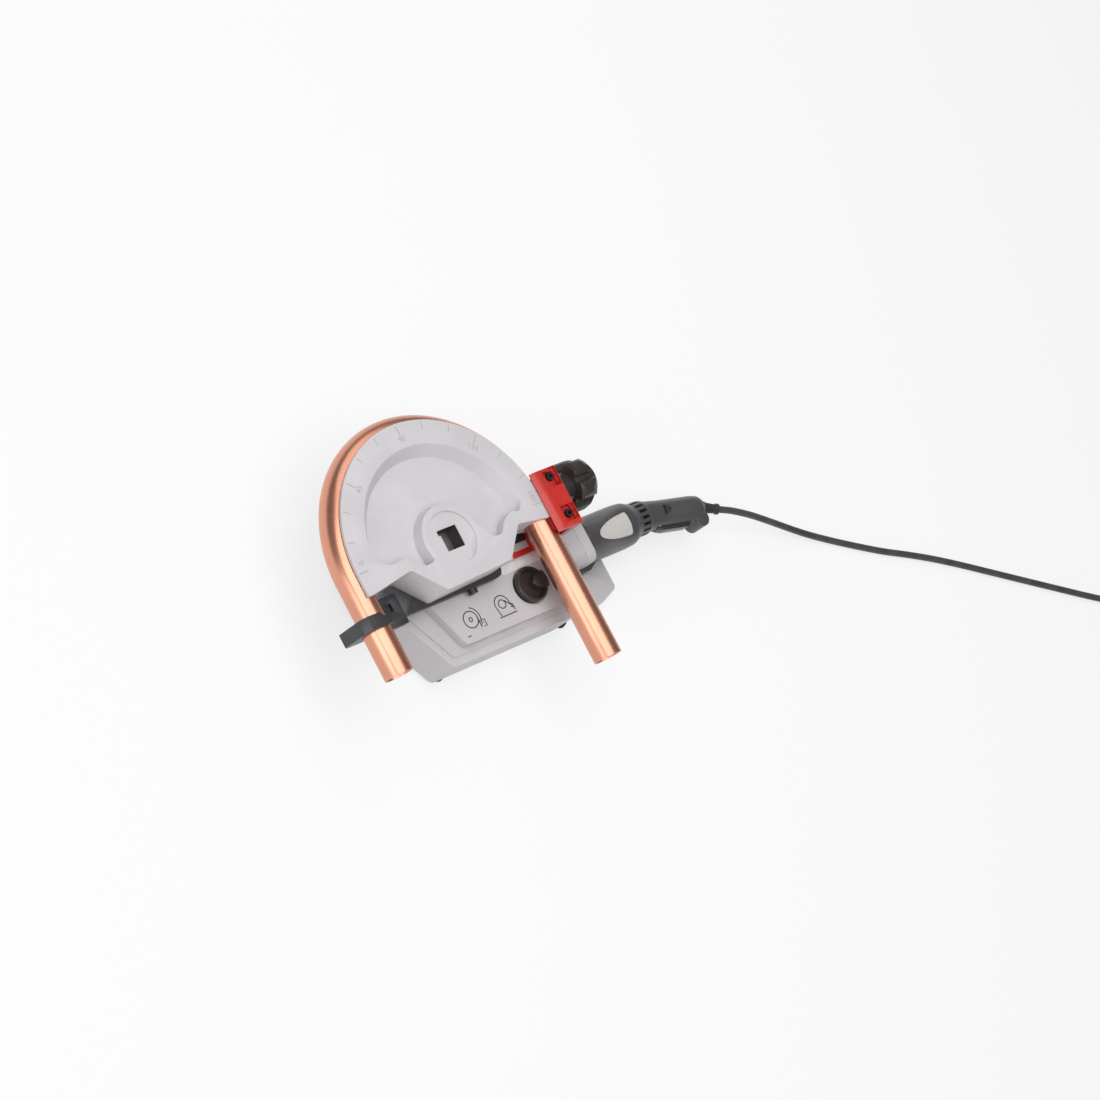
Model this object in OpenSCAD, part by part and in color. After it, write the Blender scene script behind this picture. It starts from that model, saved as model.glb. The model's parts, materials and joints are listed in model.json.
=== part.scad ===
// Electric pipe bender. A geared drive turns the former, which bends a pipe around itself.
// A hook holds the pipe's end, and a screwed shoe backs the pipe's free length.
// Origin: on the drive axis, on the underside of the base. +X points to the handle, +Z is up.

/* [Pipe and former] */
// Outside diameter of the pipe
pipe_d = 28; // [24:1:30]
// Wall of the pipe
pipe_wall = 1.5; // [1:0.1:3]
// Bend radius at the pipe's centreline
bend_r = 114; // [108:1:120]
// Straight leg on the hook's side
short_leg = 95; // [70:1:120]
// Straight leg on the shoe's side
long_leg = 157; // [110:1:200]
// Thickness of the former
former_t = 36; // [34:1:44]
// Straight run of the former past each end of its arc
former_run = 19; // [14:1:26]
// Depth of the former in front of the drive axis
former_front = 43; // [36:1:48]
// Width of the former's graduated rim
rim_w = 21; // [20:1:30]
// Overhang of the former's top flange past the pipe's centreline
rim_over = 3; // [1:0.5:4]
// Depth of the former's recess
recess_depth = 12; // [8:1:20]
// Radius of the former's hub
hub_r = 33; // [29:1:38]
// Side of the square drive
drive_square = 21; // [18:0.5:23]

/* [Hook] */
// Distance of the hook in front of the drive axis
hook_d = 45; // [42:1:54]
// Width of the hook along the pipe
hook_w = 13; // [10:1:18]
// Metal of the hook around the pipe
hook_t = 12; // [9:1:16]
// Thickness of the arm that carries the hook
arm_t = 10; // [9:1:14]
// Half of the arm's length
arm_half = 62; // [52:1:68]

/* [Housing] */
// Height of the rubber feet
foot_h = 4; // [3:0.5:8]
// Radius of the rubber feet
foot_r = 8; // [5:0.5:10]
// Thickness of the bottom cover
cover_t = 3; // [2:0.5:5]
// Height of the lower deck
deck_h = 42; // [41:1:50]
// Thickness of the deck over the gears
deck_t = 2.5; // [2:0.25:4]
// Rise of the raised panel above the lower deck
panel_rise = 10; // [8:1:16]
// Distance from the drive axis to the front wall
front_d = 104; // [100:1:115]
// Wall of the gear case
wall = 5; // [4:0.5:8]
// Height of the low ledge under the motor
ledge_h = 9; // [6:1:12]
// Length of the ledge along the motor
ledge_len = 79; // [60:1:90]
// Length of the neck that carries the motor
neck_len = 39; // [32:1:50]

/* [Gears] */
// Module of the output gear and its pinion
out_mod = 2; // [1.9:0.05:2.05]
// Teeth of the output gear
out_teeth = 60; // [57:1:61]
// Face width of the output gear
out_face = 11; // [8:0.5:11.5]
// Module of the worm and its wheel
worm_mod = 1.25; // [1.15:0.05:1.3]
// Pitch radius of the worm
worm_r = 7.5; // [7:0.25:8.5]
// Length of the worm's thread
worm_len = 38; // [28:1:44]
// Face width of the worm wheel
wheel_face = 10; // [6:0.5:10]
// Module of the motor pinion and its gear
first_mod = 0.8; // [0.76:0.01:0.84]
// Radius of the drive shaft
drive_shaft_r = 17; // [15:0.5:18]
// Radius of the layshaft
lay_shaft_r = 5; // [4:0.5:6]
// Radius of the worm shaft
worm_shaft_r = 4.5; // [3.5:0.25:5]

/* [Motor and handle] */
// Distance of the motor's axis in front of the drive axis
motor_d = 40; // [38:1:42]
// Height of the motor's axis over the base
motor_z = 29; // [28.5:0.5:33]
// Radius of the motor casing
motor_r = 22.5; // [22:0.5:24]
// Length of the motor casing
motor_len = 77; // [72:1:90]
// Length of the vented collar behind the motor
vent_len = 18; // [16:1:24]
// Radius of the vented collar
vent_r = 17.5; // [17:0.5:19]
// Number of vent slots
vent_count = 16; // [8:2:20]
// Length of the handle
handle_len = 74; // [66:1:84]
// Sideways tilt of the handle in degrees
handle_tilt = 11; // [4:1:14]
// Wall of the casing
shell_t = 2.5; // [2:0.25:3]
// Radius of the armature
armature_r = 13.4; // [12:0.2:13.6]
// Radius of the armature shaft
armature_shaft_r = 4; // [3:0.25:4.5]

/* [Clamp] */
// Thickness of the pressure shoe
shoe_t = 16; // [15:0.5:20]
// Length of the pressure shoe along the pipe
shoe_len = 51; // [40:1:52]
// Travel of the shoe away from the pipe
clamp_travel = 4; // [2:0.5:6]
// Length of the bracket along the pipe
bracket_len = 60; // [58:1:70]
// Thickness of the bracket's back wall
bracket_wall = 13; // [12:0.5:18]
// Radius of the clamp spindle
spindle_r = 6; // [5:0.25:8]
// Outer radius of the star knob
star_r = 26; // [22:1:28]

/* [Controls] */
// Radius of the selector knob
selector_r = 17.5; // [14:0.5:20]
// Distance of the selector knob beside the drive axis
selector_x = 95; // [90:1:98]
// Distance of the selector knob in front of the drive axis
selector_d = 62; // [60:1:68]

/* [Cord] */
// Diameter of the cord
cord_d = 7; // [6:0.5:7.2]
// Loops of the coil
coil_turns = 7; // [5:1:8]
// Radius of the coil's innermost loop
coil_r = 29; // [28:0.5:31]

/* [Hidden] */
$fn = 48;
over = 1;
fit = 0.05;
gap = 0.3;

// Heights
panel_z = deck_h + panel_rise;
arm_z = panel_z + 2;
former_z = arm_z + arm_t;
former_top = former_z + former_t;
pipe_z = former_z + former_t / 2;
pipe_r = pipe_d / 2;
groove_r = pipe_r + 0.15;
run_skew = 3;
floor_z = -foot_h;

// Gear train
lay_teeth = 10;
wheel_teeth = 50;
first_teeth = 40;
pinion_teeth = 10;
pressure_angle = 25;
addendum = 0.8;
dedendum = 1.15;
out_play = 0.35;
first_play = 0.25;
wheel_play = 0.5;
thread_play = 0.5;
out_outer_r = out_mod * (out_teeth / 2 + addendum);
first_distance = first_mod * (pinion_teeth + first_teeth) / 2;
worm_shift = 0.9 * first_distance;
worm_y = -motor_d - worm_shift;
worm_z = motor_z - sqrt(pow(first_distance, 2) - pow(worm_shift, 2));
first_angle = atan2(worm_z - motor_z, worm_y + motor_d);
wheel_pitch_r = worm_mod * wheel_teeth / 2;
wheel_outer_r = wheel_pitch_r + worm_mod * addendum;
lay_distance = out_mod * (out_teeth + lay_teeth) / 2;
lay_y = worm_y + wheel_pitch_r + worm_r;
lay_x = sqrt(pow(lay_distance, 2) - pow(lay_y, 2));
lay_angle = atan2(lay_y, lay_x);
pocket_top = deck_h - deck_t;
out_top = pocket_top - 1;
out_z = out_top - out_face;
wheel_z = worm_z - wheel_face / 2;
gear_room = 1.5;
out_pocket_r = out_outer_r + gear_room;
wheel_pocket_r = wheel_outer_r + gear_room;
worm_outer_r = worm_r + worm_mod * addendum;
worm_root_r = worm_r - worm_mod * dedendum;
worm_pocket_r = worm_outer_r + gear_room;
first_outer_r = first_mod * (first_teeth / 2 + addendum);

// Clamp: middle of the bracket and axis of the screw in Y, the rest along X and Z
bracket_y = -2.5;
clamp_y = 7;
shoe_x = bend_r + 1;
shoe_back = shoe_x + shoe_t;
flange_z = pipe_z + groove_r + gap;
shoe_low = former_z + gap;
shoe_top = flange_z - 0.5;
bracket_in = shoe_back + clamp_travel + 0.5;
bracket_back = bracket_in + bracket_wall;
bracket_top = former_top + 4.5;
shelf_x = bend_r + 3;
lip_x = bend_r + 1;
lip_step = bend_r + rim_over + 1.5;
lip_z = former_top + 1;
lip_low = flange_z + 0.6;
tongue_len = 7;
tongue_half_y = 8.5;
tongue_half_z = 9;
tongue_back = shoe_back + tongue_len;
pocket_back = tongue_back + clamp_travel + 0.5;
window_x = bracket_in + 1;
window_w = bracket_wall - 3;
window_len = 14.5;
window_depth = 5.5;
bolt_r = 2.5;
bolt_head_r = 4;
bolt_head_h = 5;
bolt_x = window_x + window_w / 2;
bolt_mid = 0.5;
bolt_spread = 19.5;
bolt_seat = bracket_top - window_depth - 6;
tip_r = 0.7 * spindle_r;
tip_len = 4;
knob_x = bracket_back + 1.5;
knob_neck = 15;
knob_head = 33;

// Gear case outline in plan: x, y and corner radius
body_left = out_pocket_r + wall;
body_right = bracket_back + 1.5;
body_back = out_pocket_r + wall - 2;
bracket_end = bracket_y + bracket_len / 2;
body_points = [
  [-22, -front_d, 8],
  [body_right, -front_d, 10],
  [body_right, bracket_end + 10, 8],
  [40, body_back, 30],
  [-body_left, body_back, out_pocket_r - 3],
  [-body_left, -18, 15],
];
panel_front = 13.5 - front_d;
panel_points = [
  [-4, panel_front, 8],
  [body_right - 1, panel_front, 8],
  [body_right - 1, bracket_end + 6, 8],
  [4, 36, 20],
  [-drive_shaft_r - 17, 24, 18],
  [-drive_shaft_r - 17, -16, 12],
  [-20, -50, 12],
];
ledge_right = body_right + ledge_len;
ledge_points = [
  [body_right - over, 3 - front_d, 0],
  [ledge_right - 26, 4 - front_d, 30],
  [ledge_right, 13 - front_d, 6],
  [ledge_right, -motor_d + 26, 14],
  [body_right - over, -motor_d + 26, 0],
];
foot_inset = 7;
foot_land = 2;
rear_foot_r = out_pocket_r - 5.5;
rear_foot = [-rear_foot_r * cos(30), rear_foot_r * sin(30)];
feet = [
  [-9, foot_inset - front_d], [body_right + 4, foot_inset - front_d], rear_foot, [body_right - 16, 22],
];
cover_inset = 2.5;
cover_play = 0.2;
screw_inset = 10;
cover_screw_points = [
  [12, screw_inset - front_d],
  [75, screw_inset - front_d],
  [body_right - screw_inset, screw_inset - front_d],
  [body_right - screw_inset, -20],
  [48, body_back - 11],
];
screw_r = 2;
screw_head_r = 3.5;
screw_head_h = 1.8;
screw_len = 14;

// Hook
hook_in = -bend_r + pipe_r + hook_t;
hook_out = -bend_r - pipe_r - hook_t;
hook_seat = pipe_z - pipe_r - 0.5;
hook_top = former_top + 5;
hook_low = arm_z + 4.5;
hook_screw_x = hook_in - 8;
hook_head_sink = 3.5;
arm_pin_x = 25;
arm_pin_r = 2.5;
arm_pin_len = 11;

// Bearings
drive_bearing_r = drive_shaft_r + 6;
drive_bearing_h = 10;
lay_bush_r = lay_shaft_r + 4;
bush_h = 6;
worm_bush_r = worm_shaft_r + 2.5;
worm_bush_len = 8;
front_bearing_r = 11;
rear_bearing_r = 8;
bearing_len = 7;

// Positions along the worm and the motor
worm_x0 = lay_x - worm_len / 2 - 14;
worm_x1 = lay_x + worm_len / 2 + 30;
first_x = bracket_back - 13;
first_face = 8;
first_pocket_x = first_x - 5;
first_pocket_back = first_x + first_face + 4;
neck_x = body_right;
neck_half = 23;
motor_x = neck_x + neck_len;
motor_back = motor_x + motor_len;
motor_bore_r = motor_r - shell_t;
vent_bore_r = vent_r - 3;
handle_x = motor_back + vent_len;
front_bearing_x = first_pocket_back + 8;
end_wall = 8;
rear_bearing_x = motor_back - end_wall;
fan_x = motor_x + 1;
fan_len = 7;
core_x = motor_x + 15;
core_len = 34;
coil_len = 6;
commutator_x = core_x + core_len + coil_len + 1;
commutator_len = 12;
commutator_r = 9;
pole_r = armature_r + 0.6;
brush_back = motor_bore_r - 2.5;

// Handle in its own frame: h runs along the handle from its front
handle_r = 14.5;
handle_bore_r = 11.5;
handle_bore_h0 = 6;
handle_bore_h1 = handle_len - 10;
paddle_h0 = 10.5;
paddle_h1 = handle_bore_h1 - 9;
guard_h = handle_len - 8;
guard_y = -12;
guard_r = 9;
guard_half = 10;
paddle_half = 5;
paddle_pin_h = 13;
paddle_pin_y = -12.6;
paddle_pin_r = 1.5;
paddle_inner = -11.8;
paddle_outer = -17.5;
switch_half_y = 9.5;
switch_half_z = 6;
button_h = 22;
button_r = 5.5;
button_base = 8.5;
button_top = 17.5;
shell_screw_r = 1.6;
shell_screw_head_r = 3;
shell_screw_half = 8;
screw_spread = 15;

// Selector
selector_room = 1.2;
selector_sink = 2;
selector_stem_r = 4;
selector_top = arm_z + arm_t - 3;
switch_block = [22, 18, 12];

// Cord: exit frame, route of the lead and the coil
cord_r = cord_d / 2;
exit_turn = 12;
relief_len = 12;
relief_out = 21;
relief_h = handle_len - 8;
relief_side = 4;
lead_points = [
  [396, -68, 28.4], [410, -74.2, 26.6], [424, -80.6, 23.8], [442, -89, 18.8], [462, -98.5, 12.8],
  [482, -108.5, 7.4], [502, -118.8, 3.2], [522, -129.2, 0.7], [542, -140, -0.3], [567, -153.5, -0.5],
  [592, -166.5, -0.5], [617, -178, -0.5], [642, -190, -0.5], [667, -203, -0.5], [692, -217, -0.5],
  [717, -231.5, -0.5], [742, -246, -0.5], [767, -260.5, -0.5], [792, -275, -0.5], [817, -289.5, -0.4],
  [842, -304, -0.2], [867, -318, 0.1], [890, -331, 0.4],
];
coil_center = [890, -395];
coil_start = 59.5;
coil_step = cord_d + 0.6;
tie_t = 0.8;
tie_w = 12;
tie_gap = 0.3;
coil_z = floor_z + cord_r + tie_t + tie_gap;
coil_outer_r = coil_r + coil_step * coil_turns / 2;
coil_rings = 24;
tail_len = 46;
relief_end = relief_len + relief_out;
exit_angle = -handle_tilt - exit_turn;
exit_way = [cos(exit_angle), sin(exit_angle), 0];
handle_way = [cos(handle_tilt), -sin(handle_tilt), 0];
handle_left = [sin(handle_tilt), cos(handle_tilt), 0];
exit_point = [handle_x, -motor_d, motor_z]
  + relief_h * handle_way + relief_side * handle_left + relief_end * exit_way;
coil_way = [sin(coil_start), -cos(coil_start), 0];
coil_begin = [coil_center.x, coil_center.y, coil_z] + coil_outer_r * [cos(coil_start), sin(coil_start), 0];
lead_path = concat(
  [exit_point, exit_point + cord_d * exit_way],
  lead_points,
  [coil_begin - 2 * cord_d * coil_way, coil_begin - cord_d * coil_way]
);
plug_len = 38;
plug_half_w = 18;
pin_r = 2.4;
pin_len = 19;
pin_spread = 9.5;

// Plane geometry
function unit(v) = v / norm(v);
function xy(p) = [p.x, p.y];
function left_of(v) = [-v.y, v.x];

// One corner of an outline, cut round by an arc of radius r
function corner(a, b, c, r, steps = 6) =
  let(
    u = unit(a - b),
    v = unit(c - b),
    half = acos(u * v) / 2,
    middle = b + unit(u + v) * r / sin(half),
    start = b + u * r / tan(half),
    from = atan2(start.y - middle.y, start.x - middle.x),
    sweep = (180 - 2 * half) * (cross(u, v) < 0 ? 1 : -1)
  )
  r <= 0 ? [b] : [for (i = [0:steps]) middle + r * [cos(from + sweep * i / steps), sin(from + sweep * i / steps)]];

function rounded(p) =
  let(n = len(p))
  [for (i = [0:n - 1]) each corner(xy(p[(i + n - 1) % n]), xy(p[i]), xy(p[(i + 1) % n]), p[i].z)];

// The same outline, moved inwards by d
function inset(p, d) =
  let(n = len(p))
  [
    for (i = [0:n - 1])
      let(
        b = xy(p[i]),
        n1 = left_of(unit(b - xy(p[(i + n - 1) % n]))),
        n2 = left_of(unit(xy(p[(i + 1) % n]) - b)),
        q = b + d * (n1 + n2) / (1 + n1 * n2)
      )
      [q.x, q.y, max(p[i].z - d, 1)]
  ];

// Involute gear outline with a tooth on the X axis
function involute(base, r) = r <= base ? 0 : let(t = sqrt(pow(r / base, 2) - 1)) t * 180 / PI - atan(t);
function half_tooth(teeth, mod, play, r) =
  let(pitch = teeth * mod / 2, base = pitch * cos(pressure_angle))
  90 / teeth - play * 90 / (PI * pitch) + involute(base, pitch) - involute(base, r);
function gear_points(teeth, mod, play) =
  let(
    pitch = teeth * mod / 2,
    root = pitch - dedendum * mod,
    tip = pitch + addendum * mod,
    base = max(pitch * cos(pressure_angle), root + 0.2 * mod),
    flank = [root, base, (base + tip) / 2, tip]
  )
  [
    for (i = [0:teeth - 1])
      each concat(
        [for (r = flank) let(a = i * 360 / teeth - half_tooth(teeth, mod, play, r)) r * [cos(a), sin(a)]],
        [for (k = [3:-1:0]) let(a = i * 360 / teeth + half_tooth(teeth, mod, play, flank[k])) flank[k] * [cos(a), sin(a)]]
      )
  ];

// Faces of a swept skin: rings of equal count, closed at both ends
function skin_faces(rings, sides) = concat(
  [for (j = [1:sides - 2]) [0, j + 1, j]],
  [for (j = [1:sides - 2]) let(e = (rings - 1) * sides) [e, e + j, e + j + 1]],
  [for (i = [0:rings - 2], j = [0:sides - 1]) let(k = (j + 1) % sides) [i * sides + j, i * sides + k, (i + 1) * sides + k]],
  [for (i = [0:rings - 2], j = [0:sides - 1]) let(k = (j + 1) % sides) [i * sides + j, (i + 1) * sides + k, (i + 1) * sides + j]]
);

function heading(path, i) = unit(path[min(i + 1, len(path) - 1)] - path[max(i - 1, 0)]);
function ring_at(path, i, r, sides) =
  let(t = heading(path, i), side = unit(cross(t, [0, 0, 1])), up = cross(side, t))
  [for (j = [0:sides - 1]) path[i] + r * (side * cos(360 * j / sides) + up * sin(360 * j / sides))];

module tube(path, r, sides) {
  polyhedron(
    points = [for (i = [0:len(path) - 1]) each ring_at(path, i, r, sides)],
    faces = skin_faces(len(path), sides)
  );
}

// Placement
module along_x(x, y, z) {
  translate([x, y, z]) rotate([0, 90, 0]) children();
}

module along_y(x, y, z) {
  translate([x, y, z]) rotate([-90, 0, 0]) children();
}

module on_motor(x) {
  along_x(x, -motor_d, motor_z) children();
}

module in_handle() {
  translate([handle_x, -motor_d, motor_z]) rotate([0, 0, -handle_tilt]) children();
}

module at_exit() {
  in_handle() translate([relief_h, relief_side, 0]) rotate([0, 0, -exit_turn]) children();
}

module ring(outer_r, inner_r, h) {
  difference() {
    cylinder(r = outer_r, h = h);
    translate([0, 0, -over]) cylinder(r = inner_r, h = h + 2 * over);
  }
}

// Gear case
module neck_solid() {
  bend = 9;
  square_points = [
    [-neck_half, -neck_half, bend],
    [neck_half, -neck_half, bend],
    [neck_half, neck_half, bend],
    [-neck_half, neck_half, bend],
  ];
  on_motor(neck_x - over) linear_extrude(neck_len + over) polygon(rounded(square_points));
}

module ledge_solid() {
  difference() {
    linear_extrude(ledge_h) polygon(rounded(ledge_points));
    on_motor(neck_x) cylinder(r = motor_r + 2.5, h = ledge_len + 2 * over);
  }
}

module gear_pockets() {
  translate([0, 0, -over]) cylinder(r = out_pocket_r, h = pocket_top + over);
  translate([lay_x, lay_y, -over]) cylinder(r = wheel_pocket_r, h = pocket_top + over);
  translate([worm_x0, worm_y - worm_pocket_r, -over])
    cube([worm_x1 - worm_x0, 2 * worm_pocket_r, worm_z + worm_pocket_r + over]);
  translate([first_pocket_x, worm_y - first_outer_r - gear_room, -over])
    cube([first_pocket_back - first_pocket_x, first_outer_r + gear_room + worm_shift + 8, motor_z + 10 + over]);
}

module bearing_bores() {
  translate([0, 0, pocket_top - over]) cylinder(r = drive_bearing_r, h = drive_bearing_h + over);
  translate([0, 0, pocket_top]) cylinder(r = drive_shaft_r + 1, h = panel_rise + deck_t + over);
  translate([lay_x, lay_y, pocket_top - over]) cylinder(r = lay_bush_r, h = bush_h + over);
  along_x(worm_x0 - worm_bush_len, worm_y, worm_z) cylinder(r = worm_bush_r, h = worm_bush_len + over);
  along_x(worm_x1 - over, worm_y, worm_z) cylinder(r = worm_bush_r, h = first_pocket_x - worm_x1 + 2 * over);
  on_motor(first_pocket_back - over) cylinder(r = armature_shaft_r + 2, h = neck_len);
  on_motor(front_bearing_x) cylinder(r = front_bearing_r, h = bearing_len + over);
  on_motor(front_bearing_x + bearing_len) cylinder(r = neck_half - 6, h = motor_x - front_bearing_x);
}

module selector_room_cut() {
  translate([selector_x, -selector_d, panel_z - selector_sink])
    cylinder(r = selector_r + selector_room, h = selector_sink + over);
  translate([selector_x, -selector_d, pocket_top - switch_block.z])
    cylinder(r = selector_stem_r + fit, h = panel_z);
  translate([selector_x - switch_block.x / 2, -selector_d - switch_block.y / 2, -over])
    cube([switch_block.x, switch_block.y, panel_z - 4 + over]);
}

module rim_groove() {
  groove_w = 1.6;
  groove_inset = 7;
  translate([0, 0, deck_h - 1.2]) linear_extrude(3) difference() {
    polygon(rounded(inset(body_points, groove_inset)));
    polygon(rounded(inset(body_points, groove_inset + groove_w)));
  }
}

// Outline of the bottom cover, cut back around the feet
module cover_outline(back, notch_r) {
  difference() {
    polygon(rounded(inset(body_points, back)));
    for (p = feet) translate(p) circle(r = notch_r);
  }
}

module gear_housing() {
  color("lightgray") {
    translate(rear_foot) cylinder(r = foot_r + foot_land, h = out_z - 7);
    cast_case();
  }
}

module cast_case() {
  difference() {
    union() {
      linear_extrude(deck_h) polygon(rounded(body_points));
      linear_extrude(panel_z) polygon(rounded(panel_points));
      neck_solid();
      ledge_solid();
    }
    difference() {
      rim_groove();
      linear_extrude(panel_z) polygon(rounded(inset(panel_points, -1)));
    }
    translate([0, 0, -over]) linear_extrude(cover_t + over) cover_outline(cover_inset, foot_r + foot_land);
    gear_pockets();
    bearing_bores();
    selector_room_cut();
    cover_screw_places() translate([0, 0, cover_t - over]) cylinder(r = screw_r, h = screw_len + over);
    bolt_places() translate([0, 0, panel_z - 9]) cylinder(r = bolt_r, h = 9 + over);
  }
}

module cover_screw_places() {
  for (p = cover_screw_points) translate(p) children();
}

module bolt_places() {
  for (s = [-1, 1]) translate([bolt_x, bolt_mid + s * bolt_spread, 0]) children();
}

module bottom_cover() {
  color("gray") difference() {
    union() {
      linear_extrude(cover_t) cover_outline(cover_inset + cover_play, foot_r + foot_land + cover_play);
      translate([0, 0, cover_t - over]) cylinder(r = drive_bearing_r + 4, h = drive_bearing_h + over);
      translate([lay_x, lay_y, cover_t - over]) cylinder(r = lay_bush_r + 3, h = bush_h + over);
    }
    translate([0, 0, cover_t]) cylinder(r = drive_bearing_r, h = drive_bearing_h + over);
    translate([lay_x, lay_y, cover_t]) cylinder(r = lay_bush_r, h = bush_h + over);
    cover_screw_places() {
      translate([0, 0, -over]) cylinder(r = screw_r, h = cover_t + 2 * over);
      translate([0, 0, -over]) cylinder(r = screw_head_r, h = screw_head_h + over);
    }
  }
}

module rubber_feet() {
  color("dimgray") for (p = feet) translate([p.x, p.y, -foot_h]) rotate_extrude()
    polygon([[0, 0], [foot_r - 1, 0], [foot_r, 1], [foot_r - 0.6, foot_h], [0, foot_h]]);
}

module cover_screws() {
  color("silver") cover_screw_places() {
    cylinder(r = screw_head_r, h = screw_head_h);
    translate([0, 0, screw_head_h - 0.1]) cylinder(r = screw_r, h = screw_len - 2);
  }
}

module upper_drive_bearing() {
  color("goldenrod") translate([0, 0, pocket_top]) ring(drive_bearing_r, drive_shaft_r + fit, drive_bearing_h);
}

module lower_drive_bearing() {
  color("goldenrod") translate([0, 0, cover_t]) ring(drive_bearing_r, drive_shaft_r + fit, drive_bearing_h);
}

module layshaft_bushes() {
  color("goldenrod") for (z = [cover_t, pocket_top])
    translate([lay_x, lay_y, z]) ring(lay_bush_r, lay_shaft_r + fit, bush_h);
}

module worm_bushes() {
  color("goldenrod") for (x = [worm_x0 - worm_bush_len, first_pocket_x - worm_bush_len])
    along_x(x, worm_y, worm_z) ring(worm_bush_r, worm_shaft_r + fit, worm_bush_len);
}

// Clamp
module bracket_profile() {
  bevel = 3;
  polygon([
    [shelf_x, panel_z],
    [bracket_back, panel_z],
    [bracket_back, bracket_top - bevel],
    [bracket_back - bevel, bracket_top],
    [lip_x + 5, bracket_top],
    [lip_x, bracket_top - 2.5],
    [lip_x, lip_z],
    [lip_step, lip_z],
    [lip_step, lip_low],
    [bracket_in, lip_low],
    [bracket_in, former_z],
    [shelf_x, former_z],
  ]);
}

module slide_bracket() {
  pocket_y = tongue_half_y + gap;
  pocket_z = tongue_half_z + gap;
  color("red") difference() {
    translate([0, bracket_end, 0]) rotate([90, 0, 0]) linear_extrude(bracket_len) bracket_profile();
    translate([bracket_in - over, clamp_y - pocket_y, pipe_z - pocket_z])
      cube([pocket_back - bracket_in + over, 2 * pocket_y, 2 * pocket_z]);
    along_x(pocket_back - over, clamp_y, pipe_z)
      cylinder(r = spindle_r + fit, h = bracket_back - pocket_back + 2 * over);
    bolt_places() {
      translate([0, 0, panel_z - over]) cylinder(r = bolt_r, h = bracket_top - panel_z);
      translate([0, 0, bolt_seat]) cylinder(r = bolt_head_r + 0.5, h = bracket_top - bolt_seat);
      translate([-window_w / 2, -window_len / 2, bracket_top - window_depth])
        cube([window_w, window_len, window_depth + over]);
    }
  }
}

module bracket_bolts() {
  color("dimgray") bolt_places() {
    translate([0, 0, bolt_seat]) difference() {
      cylinder(r = bolt_head_r, h = bolt_head_h);
      translate([0, 0, 2]) cylinder(r = 2, h = bolt_head_h, $fn = 6);
    }
    translate([0, 0, panel_z - 9]) cylinder(r = bolt_r, h = bolt_seat - panel_z + 9);
  }
}

module pressure_shoe() {
  color("firebrick") difference() {
    union() {
      translate([shoe_x, bracket_y - shoe_len / 2, shoe_low]) cube([shoe_t, shoe_len, shoe_top - shoe_low]);
      translate([shoe_back - over, clamp_y - tongue_half_y, pipe_z - tongue_half_z])
        cube([tongue_len + over, 2 * tongue_half_y, 2 * tongue_half_z]);
    }
    along_y(bend_r, bracket_y - shoe_len, pipe_z) cylinder(r = groove_r, h = 2 * shoe_len);
    along_x(tongue_back - tip_len, clamp_y, pipe_z) cylinder(r = tip_r + fit, h = tip_len + over);
  }
}

module clamp_spindle() {
  shoulder = tongue_back + 0.2;
  color("silver") {
    along_x(shoulder - tip_len, clamp_y, pipe_z) cylinder(r = tip_r, h = tip_len);
    along_x(shoulder, clamp_y, pipe_z) cylinder(r = spindle_r, h = knob_x + knob_neck + 16 - shoulder);
  }
}

module star_outline() {
  lobe_r = 0.34 * star_r;
  circle(r = 0.68 * star_r);
  for (a = [0:72:288]) rotate(a) translate([star_r - lobe_r, 0]) circle(r = lobe_r);
}

module star_knob() {
  color("black") difference() {
    along_x(knob_x, clamp_y, pipe_z) {
      rotate_extrude() polygon([[0, 0], [14, 0], [16, 2], [15, knob_neck + over], [0, knob_neck + over]]);
      intersection() {
        translate([0, 0, knob_neck]) linear_extrude(knob_head) star_outline();
        translate([0, 0, knob_neck]) rotate_extrude() polygon([
          [0, 0], [star_r - 3, 0], [star_r - 0.5, 3], [star_r, 6], [star_r, 13], [star_r - 2.5, 20],
          [0.7 * star_r, 26], [0.42 * star_r, 30.5], [0.2 * star_r, 32.4], [0, knob_head],
        ]);
      }
    }
    along_x(knob_x - over, clamp_y, pipe_z) cylinder(r = spindle_r, h = knob_neck + 16 + over);
  }
}

// Controls on the panel
module selector_switch() {
  color("dimgray") difference() {
    translate([selector_x, -selector_d, panel_z - 4 - switch_block.z / 2]) cube(switch_block, center = true);
    translate([selector_x, -selector_d, panel_z - 4 - switch_block.z]) cylinder(r = selector_stem_r + fit, h = panel_z);
  }
}

module selector_knob() {
  base_z = panel_z - selector_sink + gap;
  dish_h = 8;
  bowl = 5;
  rim = 2.5;
  color("black") translate([selector_x, -selector_d, base_z]) {
    rotate_extrude() polygon([
      [0, 0], [selector_r, 0], [selector_r, dish_h - 1], [selector_r - 1, dish_h], [selector_r - rim, dish_h],
      [selector_r - rim - 2, dish_h - bowl], [0, dish_h - bowl],
    ]);
    intersection() {
      translate([0, 0, dish_h - bowl - over]) linear_extrude(selector_top - base_z - dish_h + bowl + over)
        polygon([[-2, 0], [4, -7], [selector_r, -9], [selector_r, 9], [4, 7]]);
      cylinder(r = selector_r - 0.6, h = panel_z);
    }
    translate([0, 0, -switch_block.z]) cylinder(r = selector_stem_r, h = switch_block.z + over);
  }
}

// Drive
module square_bar(side, h) {
  linear_extrude(h) square(side, center = true);
}

module drive_shaft() {
  color("silver") {
    translate([0, 0, cover_t + gap]) cylinder(r = drive_shaft_r, h = arm_z - cover_t - gap);
    translate([0, 0, arm_z - over]) square_bar(drive_square, arm_t + former_t / 2 + over);
  }
}

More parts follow.
